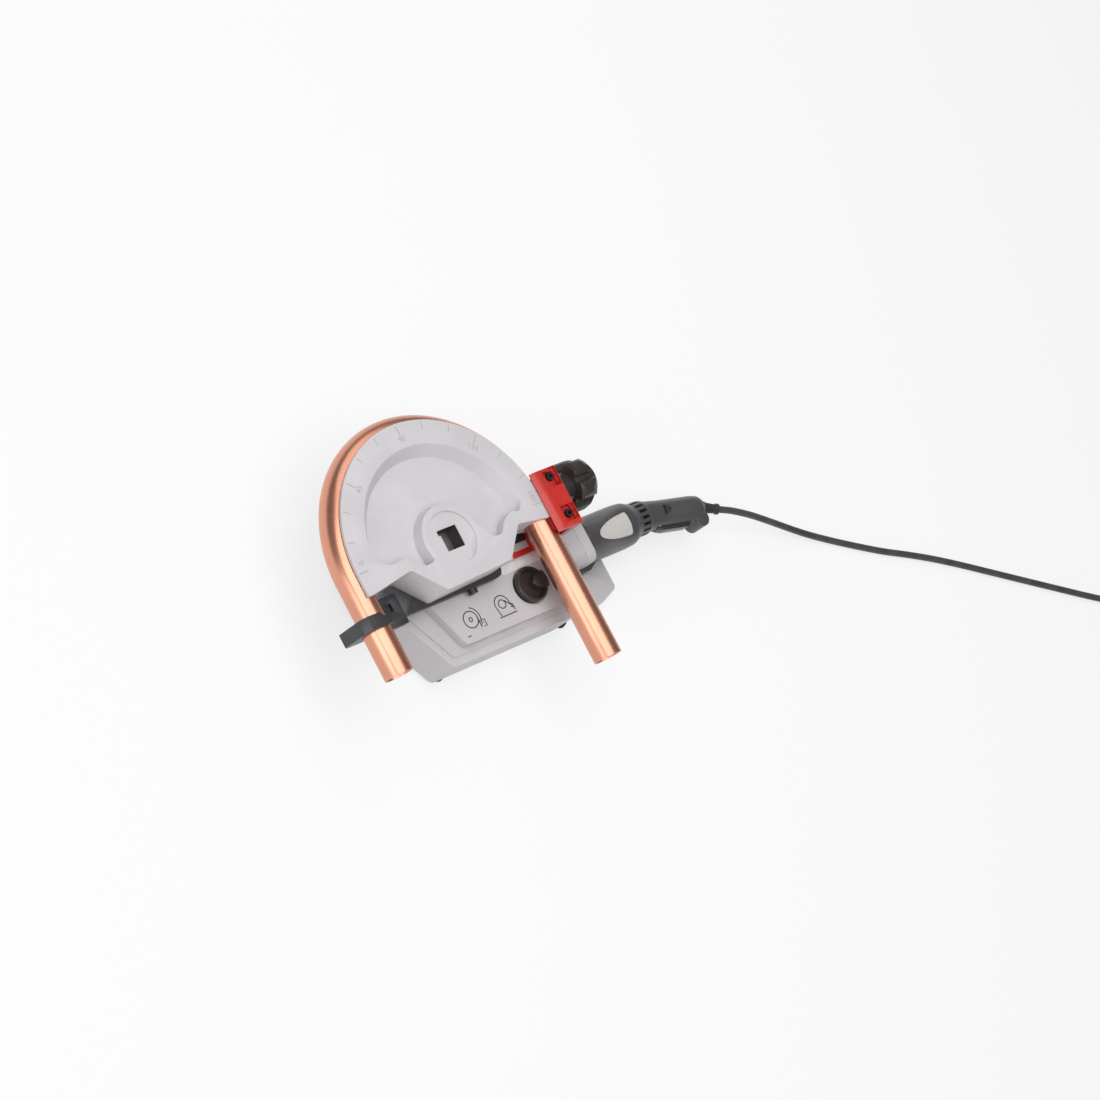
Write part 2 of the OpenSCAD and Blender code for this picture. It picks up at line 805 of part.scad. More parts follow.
module output_gear() {
  color("gray") translate([0, 0, out_z]) difference() {
    linear_extrude(out_face) rotate(lay_angle) polygon(gear_points(out_teeth, out_mod, out_play));
    translate([0, 0, -over]) cylinder(r = drive_shaft_r, h = out_face + 2 * over);
    for (a = [30:60:330]) rotate(a) translate([0.65 * out_outer_r, 0, -over]) cylinder(r = 8, h = out_face + 2 * over);
  }
}

// Half disc of radius r with the straight runs and the front of the former
module former_outline(r) {
  left_end = -former_run - run_skew;
  right_end = -former_run + run_skew;
  intersection() {
    circle(r = r, $fn = 180);
    translate([-r, 0]) square([2 * r, r]);
  }
  polygon(rounded([
    [-r, 0, 0],
    [-r, left_end, 0],
    [-61, left_end + 8, 6],
    [-33, -former_front, 4],
    [50, 3.5 - former_front, 4],
    [77, right_end + 5, 6],
    [r, right_end, 0],
    [r, 0, 0],
  ]));
}

// The recess slopes down from the rim and ends in a lobe on each side of the hub
module recess_solid() {
  rim_r = bend_r - rim_w;
  floor_r = rim_r - 0.75 * recess_depth;
  floor_z0 = former_top - recess_depth;
  edge = rim_r + 4;
  intersection() {
    translate([0, 0, floor_z0]) linear_extrude(recess_depth + over) polygon(rounded([
      [-edge, edge, 0], [-edge, 10, 0], [-80, -3, 7], [-58, -2, 8], [-44, -15, 6], [-33, -15, 5], [-24, -4, 0],
      [24, 0, 0], [37, 4, 5], [43, -14, 6], [55, -14, 6], [64, -3, 7], [77, 3, 6], [86, -1, 5], [edge, 14, 0],
      [edge, edge, 0],
    ]));
    rotate_extrude($fn = 120) polygon([
      [hub_r + 2, floor_z0], [floor_r, floor_z0], [rim_r, former_top], [rim_r, former_top + 2 * over],
      [hub_r, former_top + 2 * over], [hub_r, former_top],
    ]);
  }
}

module pipe_groove() {
  translate([0, 0, pipe_z]) rotate_extrude(angle = 180, $fn = 120) translate([bend_r, 0]) circle(r = groove_r);
  groove_run = former_run + run_skew + over;
  for (s = [-1, 1]) along_y(s * bend_r, -groove_run, pipe_z) cylinder(r = groove_r, h = groove_run);
}

module bending_former() {
  step_h = 2;
  notch = 5;
  color("silver") difference() {
    union() {
      translate([0, 0, former_z]) linear_extrude(former_t) former_outline(bend_r);
      translate([0, 0, flange_z]) linear_extrude(former_top - flange_z) former_outline(bend_r + rim_over);
    }
    pipe_groove();
    recess_solid();
    translate([0, 0, former_z - over]) square_bar(drive_square + 0.4, former_t + 2 * over);
    translate([-drive_square / 2 - notch / 2, drive_square / 2 - notch, former_z + former_t / 2])
      cube([notch, notch, former_t]);
    translate([0, 0, former_top - step_h]) ring(0.79 * hub_r, drive_square * 0.5, step_h + over);
  }
}

module hook_arm() {
  arm_points = [
    [-arm_half, -hook_d, 3], [arm_half + 2, -hook_d, 8], [arm_half + 2, -14, 10], [32, 32, 24], [-32, 32, 24],
    [-arm_half, -10, 10],
  ];
  lap_x = hook_in - 16;
  socket = 8;
  color("dimgray") difference() {
    union() {
      translate([0, 0, arm_z]) linear_extrude(arm_t) polygon(rounded(arm_points));
      translate([hook_in, -hook_d - hook_w / 2, arm_z])
        cube([-arm_half - hook_in + over, hook_w / 2 + 23, arm_t - 0.5]);
      translate([lap_x, -hook_d - hook_w / 2, arm_z]) cube([hook_in - lap_x + over, hook_w, hook_low - arm_z]);
    }
    translate([0, 0, arm_z - over]) square_bar(drive_square, arm_t + 2 * over);
    translate([hook_in + 13, -hook_d + 12, arm_z + arm_t]) cube([socket, socket, 8], center = true);
    translate([hook_screw_x, -hook_d, arm_z - over]) cylinder(r = bolt_r, h = arm_t + 2 * over);
    along_y(arm_pin_x, -hook_d - over, arm_z + arm_t / 2) cylinder(r = arm_pin_r, h = arm_pin_len + over);
  }
}

module pipe_hook() {
  tip_z = pipe_z + pipe_r + 1;
  hook_front = -hook_d - hook_w / 2;
  hook_rear = -hook_d + hook_w / 2;
  color("dimgray") difference() {
    translate([0, hook_rear, 0]) rotate([90, 0, 0]) linear_extrude(hook_w) difference() {
      polygon([
        [hook_in - 0.1, hook_low],
        [hook_in - 0.1, hook_seat - 2],
        [hook_in - 3, hook_seat],
        [-bend_r, hook_seat],
        [-bend_r, tip_z],
        [6 - bend_r, tip_z],
        [5 - bend_r, hook_top - 1.5],
        [3 - bend_r, hook_top],
        [hook_out + 6, hook_top],
        [hook_out, hook_top - 6],
        [hook_out, hook_low + 6],
        [hook_out + 6, hook_low],
      ]);
      translate([-bend_r, pipe_z]) circle(r = pipe_r + gap);
    }
    translate([0, 0, tip_z - over]) linear_extrude(hook_top) polygon([
      [-bend_r - 6, hook_rear + over], [-bend_r + 6, hook_front], [-bend_r + 20, hook_front], [-bend_r + 20, hook_rear + over],
    ]);
    translate([hook_screw_x, -hook_d, hook_low - over]) cylinder(r = bolt_r, h = hook_seat);
    translate([hook_screw_x, -hook_d, hook_seat - hook_head_sink]) cylinder(r = bolt_head_r + gap, h = 8);
  }
}

module hook_screw() {
  head_z = hook_seat - hook_head_sink;
  color("black") translate([hook_screw_x, -hook_d, 0]) difference() {
    union() {
      translate([0, 0, arm_z + 0.5]) cylinder(r = bolt_r, h = head_z - arm_z);
      translate([0, 0, head_z]) cylinder(r = bolt_head_r, h = 3);
    }
    translate([0, 0, head_z + 1]) cylinder(r = 2, h = 4, $fn = 6);
  }
}

module arm_pin() {
  color("black") {
    along_y(arm_pin_x, -hook_d, arm_z + arm_t / 2) cylinder(r = arm_pin_r, h = arm_pin_len);
    along_y(arm_pin_x, -hook_d - 5, arm_z + arm_t / 2) cylinder(r = arm_pin_r + 2, h = 5);
  }
}

module pipe_solid(r) {
  translate([0, 0, pipe_z]) rotate_extrude(angle = 180, $fn = 120) translate([bend_r, 0]) circle(r = r);
  along_y(-bend_r, -short_leg, pipe_z) cylinder(r = r, h = short_leg);
  along_y(bend_r, -long_leg, pipe_z) cylinder(r = r, h = long_leg);
}

module copper_pipe() {
  color("chocolate") difference() {
    pipe_solid(pipe_r);
    pipe_solid(pipe_r - pipe_wall);
    for (s = [-1, 1]) along_y(s * bend_r, -long_leg - over, pipe_z)
      cylinder(r = pipe_r - pipe_wall, h = s > 0 ? 2 * over : long_leg - short_leg + 2 * over);
  }
}

// Gear train
module layshaft() {
  color("silver") {
    translate([lay_x, lay_y, cover_t + gap]) cylinder(r = lay_shaft_r, h = pocket_top + bush_h - cover_t - gap);
    translate([lay_x, lay_y, wheel_z + wheel_face]) linear_extrude(out_top - wheel_z - wheel_face)
      rotate(lay_angle + 180 + 180 / lay_teeth) polygon(gear_points(lay_teeth, out_mod, out_play));
  }
}

module worm_wheel() {
  color("goldenrod") translate([lay_x, lay_y, wheel_z]) difference() {
    linear_extrude(wheel_face) rotate(-90 + 180 / wheel_teeth) polygon(gear_points(wheel_teeth, worm_mod, wheel_play));
    translate([0, 0, -over]) cylinder(r = lay_shaft_r, h = wheel_face + 2 * over);
    translate([0, 0, wheel_face - 2]) ring(0.8 * wheel_pitch_r, 14, 2 + over);
    translate([0, 0, -over]) ring(0.8 * wheel_pitch_r, 14, 2 + over);
  }
}

// Left-hand thread, as one swept strip whose foot is sunk in the worm's core
module worm_thread() {
  lead = PI * worm_mod;
  steps = 24;
  turns = floor(worm_len / lead) - 1;
  foot = worm_root_r - 0.5;
  slope = tan(20);
  pitch_half = lead / 4 - thread_play / 2;
  foot_half = pitch_half + slope * (worm_r - foot);
  tip_half = pitch_half - slope * (worm_outer_r - worm_r);
  section = [[foot, -foot_half], [worm_outer_r, -tip_half], [worm_outer_r, tip_half], [foot, foot_half]];
  polyhedron(
    points = [
      for (i = [0:turns * steps], s = section)
        let(a = 360 * i / steps, x = lead * (turns / 2 - i / steps))
        [lay_x + x + s.y, worm_y + s.x * cos(a + 180 * turns), worm_z + s.x * sin(a + 180 * turns)]
    ],
    faces = skin_faces(turns * steps + 1, 4)
  );
}

module worm_shaft() {
  end_x = first_x + first_face + 2;
  color("silver") {
    along_x(worm_x0 - worm_bush_len, worm_y, worm_z) cylinder(r = worm_shaft_r, h = end_x - worm_x0 + worm_bush_len);
    along_x(lay_x - worm_len / 2, worm_y, worm_z) cylinder(r = worm_root_r, h = worm_len);
    worm_thread();
  }
}

module worm_gear() {
  color("gray") difference() {
    translate([first_x, worm_y, worm_z]) rotate([90, 0, 90]) linear_extrude(first_face)
      rotate(first_angle + 180 + 180 / first_teeth) polygon(gear_points(first_teeth, first_mod, first_play));
    along_x(first_x - over, worm_y, worm_z) cylinder(r = worm_shaft_r, h = first_face + 2 * over);
  }
}

module armature_shaft() {
  pinion_x = first_x - 2;
  pinion_len = first_face + 5;
  color("silver") {
    translate([pinion_x, -motor_d, motor_z]) rotate([90, 0, 90]) linear_extrude(pinion_len)
      rotate(first_angle) polygon(gear_points(pinion_teeth, first_mod, first_play));
    on_motor(pinion_x + pinion_len) cylinder(r = armature_shaft_r, h = rear_bearing_x + bearing_len - pinion_x - pinion_len);
  }
}

module armature_core() {
  slots = 12;
  color("gray") on_motor(core_x) difference() {
    cylinder(r = armature_r, h = core_len);
    translate([0, 0, -over]) cylinder(r = armature_shaft_r, h = core_len + 2 * over);
    for (i = [0:slots - 1]) rotate(i * 360 / slots) translate([armature_r - 4, -1, -over])
      cube([6, 2, core_len + 2 * over]);
  }
}

module commutator() {
  bars = 16;
  color("goldenrod") on_motor(commutator_x) difference() {
    cylinder(r = commutator_r, h = commutator_len);
    translate([0, 0, -over]) cylinder(r = armature_shaft_r, h = commutator_len + 2 * over);
    for (i = [0:bars - 1]) rotate(i * 360 / bars) translate([commutator_r - 0.8, -0.3, -over])
      cube([2, 0.6, commutator_len + 2 * over]);
  }
}

module fan() {
  blades = 9;
  fan_r = motor_bore_r - 2.5;
  color("white") on_motor(fan_x) {
    ring(fan_r, armature_shaft_r, 2);
    ring(8, armature_shaft_r, fan_len);
    for (i = [0:blades - 1]) rotate(i * 360 / blades) translate([7, -0.8, 2 - 0.1]) cube([fan_r - 8, 1.6, fan_len - 2]);
  }
}

module stator_core() {
  window = 30;
  color("gray") on_motor(core_x) difference() {
    cylinder(r = motor_bore_r - 0.1, h = core_len);
    translate([0, 0, -over]) cylinder(r = pole_r, h = core_len + 2 * over);
    for (a = [0, 180]) rotate(a) intersection() {
      translate([0, -window / 2, -over]) cube([motor_r, window, core_len + 2 * over]);
      translate([0, 0, -over]) cylinder(r = motor_bore_r - 4, h = core_len + 2 * over);
    }
  }
}

module field_coils() {
  color("peru") for (x = [core_x - coil_len, core_x + core_len]) on_motor(x) difference() {
    ring(motor_bore_r - 1, pole_r + 1, coil_len);
    for (a = [0, 180]) rotate(a) translate([-3, 0, -over]) cube([6, motor_r, coil_len + 2 * over]);
  }
}

module brush_places() {
  on_motor(commutator_x + commutator_len / 2) for (a = [90, 270]) rotate(a) children();
}

module brush_holders() {
  color("tan") brush_places() difference() {
    translate([commutator_r + 2, -4, -4]) cube([motor_bore_r - commutator_r - 2.5, 8, 8]);
    translate([0, -2.5, -2.5]) cube([brush_back, 5, 5]);
  }
}

module carbon_brushes() {
  color("black") brush_places() translate([commutator_r + 0.15, -2.4, -2.4])
    cube([brush_back - commutator_r - 0.4, 4.8, 4.8]);
}

module armature_bearings() {
  color("silver") {
    on_motor(front_bearing_x) ring(front_bearing_r, armature_shaft_r + fit, bearing_len);
    on_motor(rear_bearing_x) ring(rear_bearing_r, armature_shaft_r + fit, bearing_len);
  }
}

// Motor casing and handle
module casing_outside(turn) {
  vent_end = motor_len + vent_len;
  on_motor(motor_x) rotate(turn) rotate_extrude() polygon([
    [0, 0],
    [motor_r + 0.8, 0],
    [motor_r + 0.8, 5],
    [motor_r, 6],
    [motor_r, motor_len - 20],
    [motor_r - 0.8, motor_len - 8],
    [vent_r + 1.2, motor_len],
    [vent_r, motor_len + 2],
    [vent_r, vent_end - 4],
    [vent_r - 0.8, vent_end],
    [0, vent_end],
  ]);
  in_handle() {
    rotate([0, 90, 0]) rotate(turn) rotate_extrude() polygon([
      [0, -6],
      [handle_r + 1, -6],
      [handle_r + 1, 0],
      [handle_r, 20],
      [handle_r, handle_len - 12],
      [handle_r - 0.8, handle_len - 4],
      [handle_r - 3, handle_len],
      [0, handle_len],
    ]);
    translate([guard_h, guard_y, -guard_half]) cylinder(r = guard_r, h = 2 * guard_half);
  }
}

// Skirt of the casing along the neck's front side
module casing_skirt() {
  skirt_y = -motor_d - neck_half;
  inner_y = -motor_d - motor_r + 1.2;
  skirt_low = 12;
  translate([0, 0, skirt_low]) linear_extrude(motor_z - skirt_low - 0.5) polygon([
    [neck_x + 4, skirt_y - 5],
    [motor_x + 5, skirt_y - 5],
    [motor_x + 16, inner_y - 0.8],
    [motor_x + 16, inner_y],
    [motor_x, inner_y],
    [motor_x, skirt_y - gap],
    [neck_x + 4, skirt_y - gap],
  ]);
}

module casing_inside(turn) {
  wire_r = 4;
  on_motor(motor_x) rotate(turn) {
    translate([0, 0, -over]) cylinder(r = motor_bore_r, h = motor_len - end_wall + over);
    cylinder(r = armature_shaft_r + 2, h = motor_len + vent_len - 5);
    translate([0, 0, motor_len - end_wall - over]) cylinder(r = rear_bearing_r, h = bearing_len + over);
    translate([0, 0, motor_len + 1]) cylinder(r = vent_bore_r, h = vent_len - 5);
    translate([0, 0, motor_len + vent_len / 2]) cylinder(r = wire_r, h = vent_len);
  }
  in_handle() rotate([0, 90, 0]) rotate(turn) {
    cylinder(r = wire_r - 0.8, h = handle_bore_h0 + over);
    translate([0, 0, handle_bore_h0]) cylinder(r = handle_bore_r, h = handle_bore_h1 - handle_bore_h0);
  }
  at_exit() rotate([0, 90, 0]) rotate(turn) cylinder(r = cord_r + 2, h = relief_len);
}

module casing_cuts() {
  slot_w = 3.2;
  slot_step = 360 / vent_count;
  for (i = [0:vent_count - 1]) on_motor(motor_back + 3) rotate((i + 0.5) * slot_step)
    translate([vent_bore_r - 2, -slot_w / 2, 0]) cube([8, slot_w, vent_len - 8]);
  in_handle() {
    translate([paddle_h0 - 0.5, paddle_outer - 4, -paddle_half - gap])
      cube([paddle_h1 - paddle_h0 + 1, -paddle_outer + 4 - switch_half_y, 2 * (paddle_half + gap)]);
    translate([paddle_pin_h, paddle_pin_y, -paddle_half - 3]) cylinder(r = paddle_pin_r, h = 2 * (paddle_half + 3));
    translate([button_h, 0, switch_half_z]) cylinder(r = button_r + 0.6, h = handle_r + 4, $fn = 3);
  }
  shell_screw_places() {
    cylinder(r = shell_screw_r, h = 2 * shell_screw_half, center = true);
    translate([0, 0, -shell_screw_half - 20 + 2]) cylinder(r = shell_screw_head_r, h = 20);
  }
}

module shell_screw_places() {
  for (s = [-1, 1]) translate([motor_back - 4, -motor_d + s * screw_spread, motor_z]) children();
  in_handle() translate([guard_h, guard_y - 2, 0]) children();
}

module half_space(up) {
  reach = 400;
  translate([motor_x - reach / 4, -motor_d - reach / 2, motor_z - (up ? 0 : reach)]) cube(reach);
}

// One half of the casing. Its surfaces of revolution start on the other half.
module casing(up) {
  turn = up ? 0 : 180;
  difference() {
    intersection() {
      casing_outside(turn);
      half_space(up);
    }
    casing_inside(turn);
    casing_cuts();
  }
}

module motor_shell_upper() {
  color([0.25, 0.26, 0.28]) casing(true);
}

module motor_shell_lower() {
  color([0.25, 0.26, 0.28]) {
    casing(false);
    casing_skirt();
  }
}

module shell_screws() {
  color("silver") shell_screw_places() {
    translate([0, 0, -shell_screw_half + 2]) cylinder(r = shell_screw_r, h = 2 * shell_screw_half - 2);
    translate([0, 0, -shell_screw_half]) cylinder(r = shell_screw_head_r, h = 2);
  }
}

module switch_body() {
  front = handle_bore_h0 + 3;
  color("dimgray") in_handle() translate([front, -switch_half_y, -switch_half_z])
    cube([handle_bore_h1 - front - 2, 2 * switch_half_y, 2 * switch_half_z]);
}

module paddle_pin() {
  color("silver") in_handle() translate([paddle_pin_h, paddle_pin_y, -paddle_half - 3])
    cylinder(r = paddle_pin_r, h = 2 * (paddle_half + 3));
}

module paddle_switch() {
  paddle_points = [
    [paddle_h0, paddle_inner, 1], [paddle_h0 + 1, paddle_outer + 2, 3], [paddle_h0 + 9, paddle_outer, 8],
    [paddle_h1 - 4, paddle_outer, 6], [paddle_h1, paddle_inner - 2, 1], [paddle_h1, paddle_inner, 1],
  ];
  color("black") in_handle() difference() {
    translate([0, 0, -paddle_half]) linear_extrude(2 * paddle_half) polygon(rounded(paddle_points));
    translate([paddle_pin_h, paddle_pin_y, -paddle_half - over]) cylinder(r = paddle_pin_r + fit, h = 2 * (paddle_half + over));
  }
}

module lock_button() {
  color("black") in_handle() translate([button_h, 0, button_base]) cylinder(r = button_r, h = button_top - button_base, $fn = 3);
}

// Mains cord
module strain_relief() {
  color("black") at_exit() rotate([0, 90, 0]) rotate_extrude() polygon([
    [0, 0], [cord_r + 2, 0], [cord_r + 2, relief_len], [cord_r + 3.2, relief_len + 1],
    [cord_r + 2, relief_len + 7], [cord_r + 1.2, relief_end - 3], [cord_r + 2.2, relief_end - 2.5],
    [cord_r + 2.2, relief_end], [0, relief_end],
  ]);
}

function coil_path() = [
  for (i = [0:coil_turns * coil_rings])
    let(
      t = i / coil_rings,
      a = coil_start - 360 * t,
      r = coil_r + coil_step * abs(t - coil_turns / 2),
      climb = min(max((t - coil_turns / 2 + 0.25) / 0.5, 0), 1)
    )
    [coil_center.x + r * cos(a), coil_center.y + r * sin(a), coil_z + coil_step * climb]
];

function whole_coil() =
  let(p = coil_path(), e = p[len(p) - 1])
  concat([coil_begin - cord_d * coil_way], p, [e + tail_len / 2 * coil_way, e + tail_len * coil_way]);

function path_length(p) = let(steps = [for (i = [1:len(p) - 1]) norm(p[i] - p[i - 1])]) steps * [for (s = steps) 1];
function least_gap(p) = min([
  for (i = [0:len(p) - 1], j = [i + coil_rings / 2:len(p) - 1]) norm(p[i] - p[j]),
]) - cord_d;

echo(cord_length_mm = path_length(lead_path) + path_length(whole_coil()), coil_gap_mm = least_gap(whole_coil()));

module cord_lead() {
  color("black") tube(lead_path, cord_r, 10);
}

module cord_coil() {
  color("black") tube(whole_coil(), cord_r, 6);
}

module coil_tie() {
  inner_w = coil_outer_r - coil_r + cord_d + 2 * tie_gap;
  inner_h = coil_step + cord_d + 2 * tie_gap;
  color("dimgray") translate([coil_center.x, coil_center.y, floor_z]) rotate(coil_start + 180)
    translate([(coil_outer_r + coil_r) / 2, 0, inner_h / 2 + tie_t]) difference() {
      cube([inner_w + 2 * tie_t, tie_w, inner_h + 2 * tie_t], center = true);
      cube([inner_w, tie_w + over, inner_h], center = true);
    }
}

module at_plug() {
  p = whole_coil();
  translate(p[len(p) - 1]) rotate(coil_start - 90) children();
}

module plug() {
  half_h = coil_z + coil_step - floor_z;
  shape = [
    [0, -6, 1], [10, -8, 6], [16, -plug_half_w, 8], [plug_len, -plug_half_w, 2], [plug_len, plug_half_w, 2],
    [16, plug_half_w, 8], [10, 8, 6], [0, 6, 1],
  ];
  color("black") at_plug() difference() {
    translate([0, 0, -half_h]) linear_extrude(2 * half_h) polygon(rounded(shape));
    for (s = [-1, 1]) along_x(plug_len - 12, s * pin_spread, 0) cylinder(r = pin_r, h = 12 + over);
  }
}

module plug_pins() {
  color("gold") at_plug() for (s = [-1, 1]) {
    along_x(plug_len - 12, s * pin_spread, 0) cylinder(r = pin_r, h = 12 + pin_len);
    translate([plug_len + pin_len, s * pin_spread, 0]) sphere(r = pin_r);
  }
}

gear_housing();
bottom_cover();
rubber_feet();
cover_screws();
upper_drive_bearing();
lower_drive_bearing();
layshaft_bushes();
worm_bushes();
slide_bracket();
bracket_bolts();
selector_switch();
motor_shell_upper();
motor_shell_lower();
shell_screws();
stator_core();
field_coils();
brush_holders();
carbon_brushes();
armature_bearings();
switch_body();
paddle_pin();
strain_relief();
cord_lead();
cord_coil();
coil_tie();
plug();
plug_pins();
drive_shaft();
output_gear();
bending_former();
hook_arm();
pipe_hook();
hook_screw();
arm_pin();
copper_pipe();
layshaft();
worm_wheel();
worm_shaft();
worm_gear();
armature_shaft();
armature_core();
commutator();
fan();
pressure_shoe();
clamp_spindle();
star_knob();
selector_knob();
paddle_switch();
lock_button();
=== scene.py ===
# Electric pipe bender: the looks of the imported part
import json
import math
import bmesh
import bpy
from mathutils import Matrix, Vector


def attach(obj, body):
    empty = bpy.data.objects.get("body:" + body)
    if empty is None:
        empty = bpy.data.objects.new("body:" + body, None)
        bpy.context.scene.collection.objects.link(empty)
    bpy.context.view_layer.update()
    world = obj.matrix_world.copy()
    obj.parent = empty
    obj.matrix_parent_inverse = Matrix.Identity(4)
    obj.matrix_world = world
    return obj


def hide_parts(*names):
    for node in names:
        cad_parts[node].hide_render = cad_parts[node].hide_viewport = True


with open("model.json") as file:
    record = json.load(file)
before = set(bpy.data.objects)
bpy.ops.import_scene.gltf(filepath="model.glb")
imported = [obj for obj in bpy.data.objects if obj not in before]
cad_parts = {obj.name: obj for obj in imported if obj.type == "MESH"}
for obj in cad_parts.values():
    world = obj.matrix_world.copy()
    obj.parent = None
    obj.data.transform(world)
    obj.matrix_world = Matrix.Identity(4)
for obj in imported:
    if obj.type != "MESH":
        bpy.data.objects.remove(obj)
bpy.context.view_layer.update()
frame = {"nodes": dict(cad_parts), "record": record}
NODES = frame["nodes"]
NODE_BODY = {n: b for b, nodes in frame["record"]["behaviour"]["bodies"].items() for n in nodes}
SLOT = {row["node"]: row["material_slot"] for row in frame["record"]["subparts"]}
MM = 0.001
scene = bpy.context.scene
scene.view_settings.view_transform = "Standard"

# Sizes shared with the part's source, in millimetres
FORMER_TOP = 100.0
RIM_R = 117.0
PANEL_Z = 52.0
DECK_Z = 42.0
LEDGE_Z = 9.0
FLOOR_Z = -4.0
NECK_HALF = 23.0
MOTOR_X = 189.0
MOTOR_Y = -40.0
MOTOR_Z = 29.0
MOTOR_R = 22.5
HANDLE_X = 284.0
HANDLE_TILT = 11.0
HANDLE_LEN = 74.0
EXIT_TURN = 12.0
RELIEF_ROOT = HANDLE_LEN - 8.0
RELIEF_SIDE = 4.0
RELIEF_LEN = 12.0
RELIEF_END = 33.0
CORD_D = 7.0
COIL_TURNS = 7
COIL_R = 29.0
COIL_STEP = CORD_D + 0.6
COIL_CENTRE = (890.0, -395.0)
COIL_START = 59.5
COIL_OUTER = COIL_R + COIL_STEP * COIL_TURNS / 2
TIE_T = 0.8
TIE_W = 12.0
TIE_GAP = 0.3
BRACKET_TOP = 104.5

# Sizes of the scene's own pieces, in millimetres
POCKET_DEPTH = 9.0
POCKET_X = 136.5
POCKET_YS = (16.5, -19.5)
POCKET_LONG = 17.0
POCKET_WIDE = 15.0
MOTOR_PLATE_X = 226.0
LINE_HIGH = 0.12
SIGN_LINE = 1.1
PRINT_LIFT = 0.03

# Limits for rounding a node, in metres and degrees
SAME_POINT = 0.000001
FLAT_FOLD = 0.4
SHARP_FOLD = 28.0


# Placement
def deselect():
    if bpy.context.object and bpy.context.object.mode != "OBJECT":
        bpy.ops.object.mode_set(mode="OBJECT")
    bpy.ops.object.select_all(action="DESELECT")


def pick(obj):
    deselect()
    obj.select_set(True)
    bpy.context.view_layer.objects.active = obj
    return obj


def settle(obj):
    """Puts the piece's place into its mesh."""
    pick(obj)
    bpy.ops.object.transform_apply(location=True, rotation=True, scale=True)
    return obj


# Modelling by hand: primitives, edit mode and applied modifiers
def begin(kind, name, sides=None, **settings):
    """Starts a piece from a primitive; sides gives the sides of a unit block or sheet in millimetres."""
    deselect()
    getattr(bpy.ops.mesh, "primitive_%s_add" % kind)(**settings)
    obj = bpy.context.object
    obj.name = name
    if sides:
        obj.scale = [side * MM for side in sides]
    return settle(obj)


def edit(obj):
    """Opens edit mode with nothing selected and returns the mesh being edited."""
    pick(obj)
    bpy.ops.object.mode_set(mode="EDIT")
    bpy.ops.mesh.select_all(action="DESELECT")
    return bmesh.from_edit_mesh(obj.data)


def choose(obj, mesh, what, test):
    """Selects the faces, edges or points that pass a test."""
    bpy.ops.mesh.select_mode(type={"faces": "FACE", "edges": "EDGE", "verts": "VERT"}[what])
    for part in getattr(mesh, what):
        part.select_set(test(part))
    bmesh.update_edit_mesh(obj.data)


def close(obj):
    """Turns all faces outwards and leaves edit mode."""
    bpy.ops.mesh.select_all(action="SELECT")
    bpy.ops.mesh.normals_make_consistent(inside=False)
    bpy.ops.object.mode_set(mode="OBJECT")
    return obj


def modify(obj, kind, **settings):
    pick(obj)
    step = obj.modifiers.new(kind.lower(), kind)
    for key, value in settings.items():
        setattr(step, key, value)
    bpy.ops.object.modifier_apply(modifier=step.name)
    return obj


def carve(obj, tool, how="DIFFERENCE"):
    """Cuts a piece with another one, which is then thrown away."""
    modify(obj, "BOOLEAN", operation=how, object=tool, solver="EXACT")
    bpy.data.objects.remove(tool)
    return obj


def soften(obj, angle=35.0):
    pick(obj)
    bpy.ops.object.shade_smooth_by_angle(angle=math.radians(angle))
    return obj


def joined(name, objs):
    deselect()
    for obj in objs:
        obj.select_set(True)
    bpy.context.view_layer.objects.active = objs[0]
    bpy.ops.object.join()
    bpy.context.object.name = name
    return bpy.context.object


def put(obj, matrix):
    """Moves a piece by a matrix in millimetres and puts its place into its mesh."""
    obj.matrix_world = Matrix.Scale(MM, 4) @ matrix @ Matrix.Scale(1.0 / MM, 4) @ obj.matrix_world
    return settle(obj)


def moved(x, y, z, turn=0.0, axis="Z"):
    return Matrix.Translation((x, y, z)) @ Matrix.Rotation(math.radians(turn), 4, axis)


# Materials: one class for a socket, one for a whole finish
class Value:
    def __init__(self, finish, socket):
        self.finish = finish
        self.socket = socket

    def sum(self, operation, *values):
        return self.finish.add("ShaderNodeMath", {"operation": operation}, *values)

    def __add__(self, other):
        return self.sum("ADD", self, other)

    __radd__ = __add__

    def __sub__(self, other):
        return self.sum("SUBTRACT", self, other)

    def __rsub__(self, other):
        return self.sum("SUBTRACT", other, self)

    def __mul__(self, other):
        return self.sum("MULTIPLY", self, other)

    __rmul__ = __mul__

    def __lt__(self, other):
        return self.sum("LESS_THAN", self, other)

    def clamp(self):
        return self.finish.add("ShaderNodeClamp", {}, self, 0.0, 1.0)

    def between(self, low, high):
        """0 at low, 1 at high, smooth in between."""
        settings = {"interpolation_type": "SMOOTHSTEP"}
        return self.finish.add("ShaderNodeMapRange", settings, self, low, high, 0.0, 1.0)


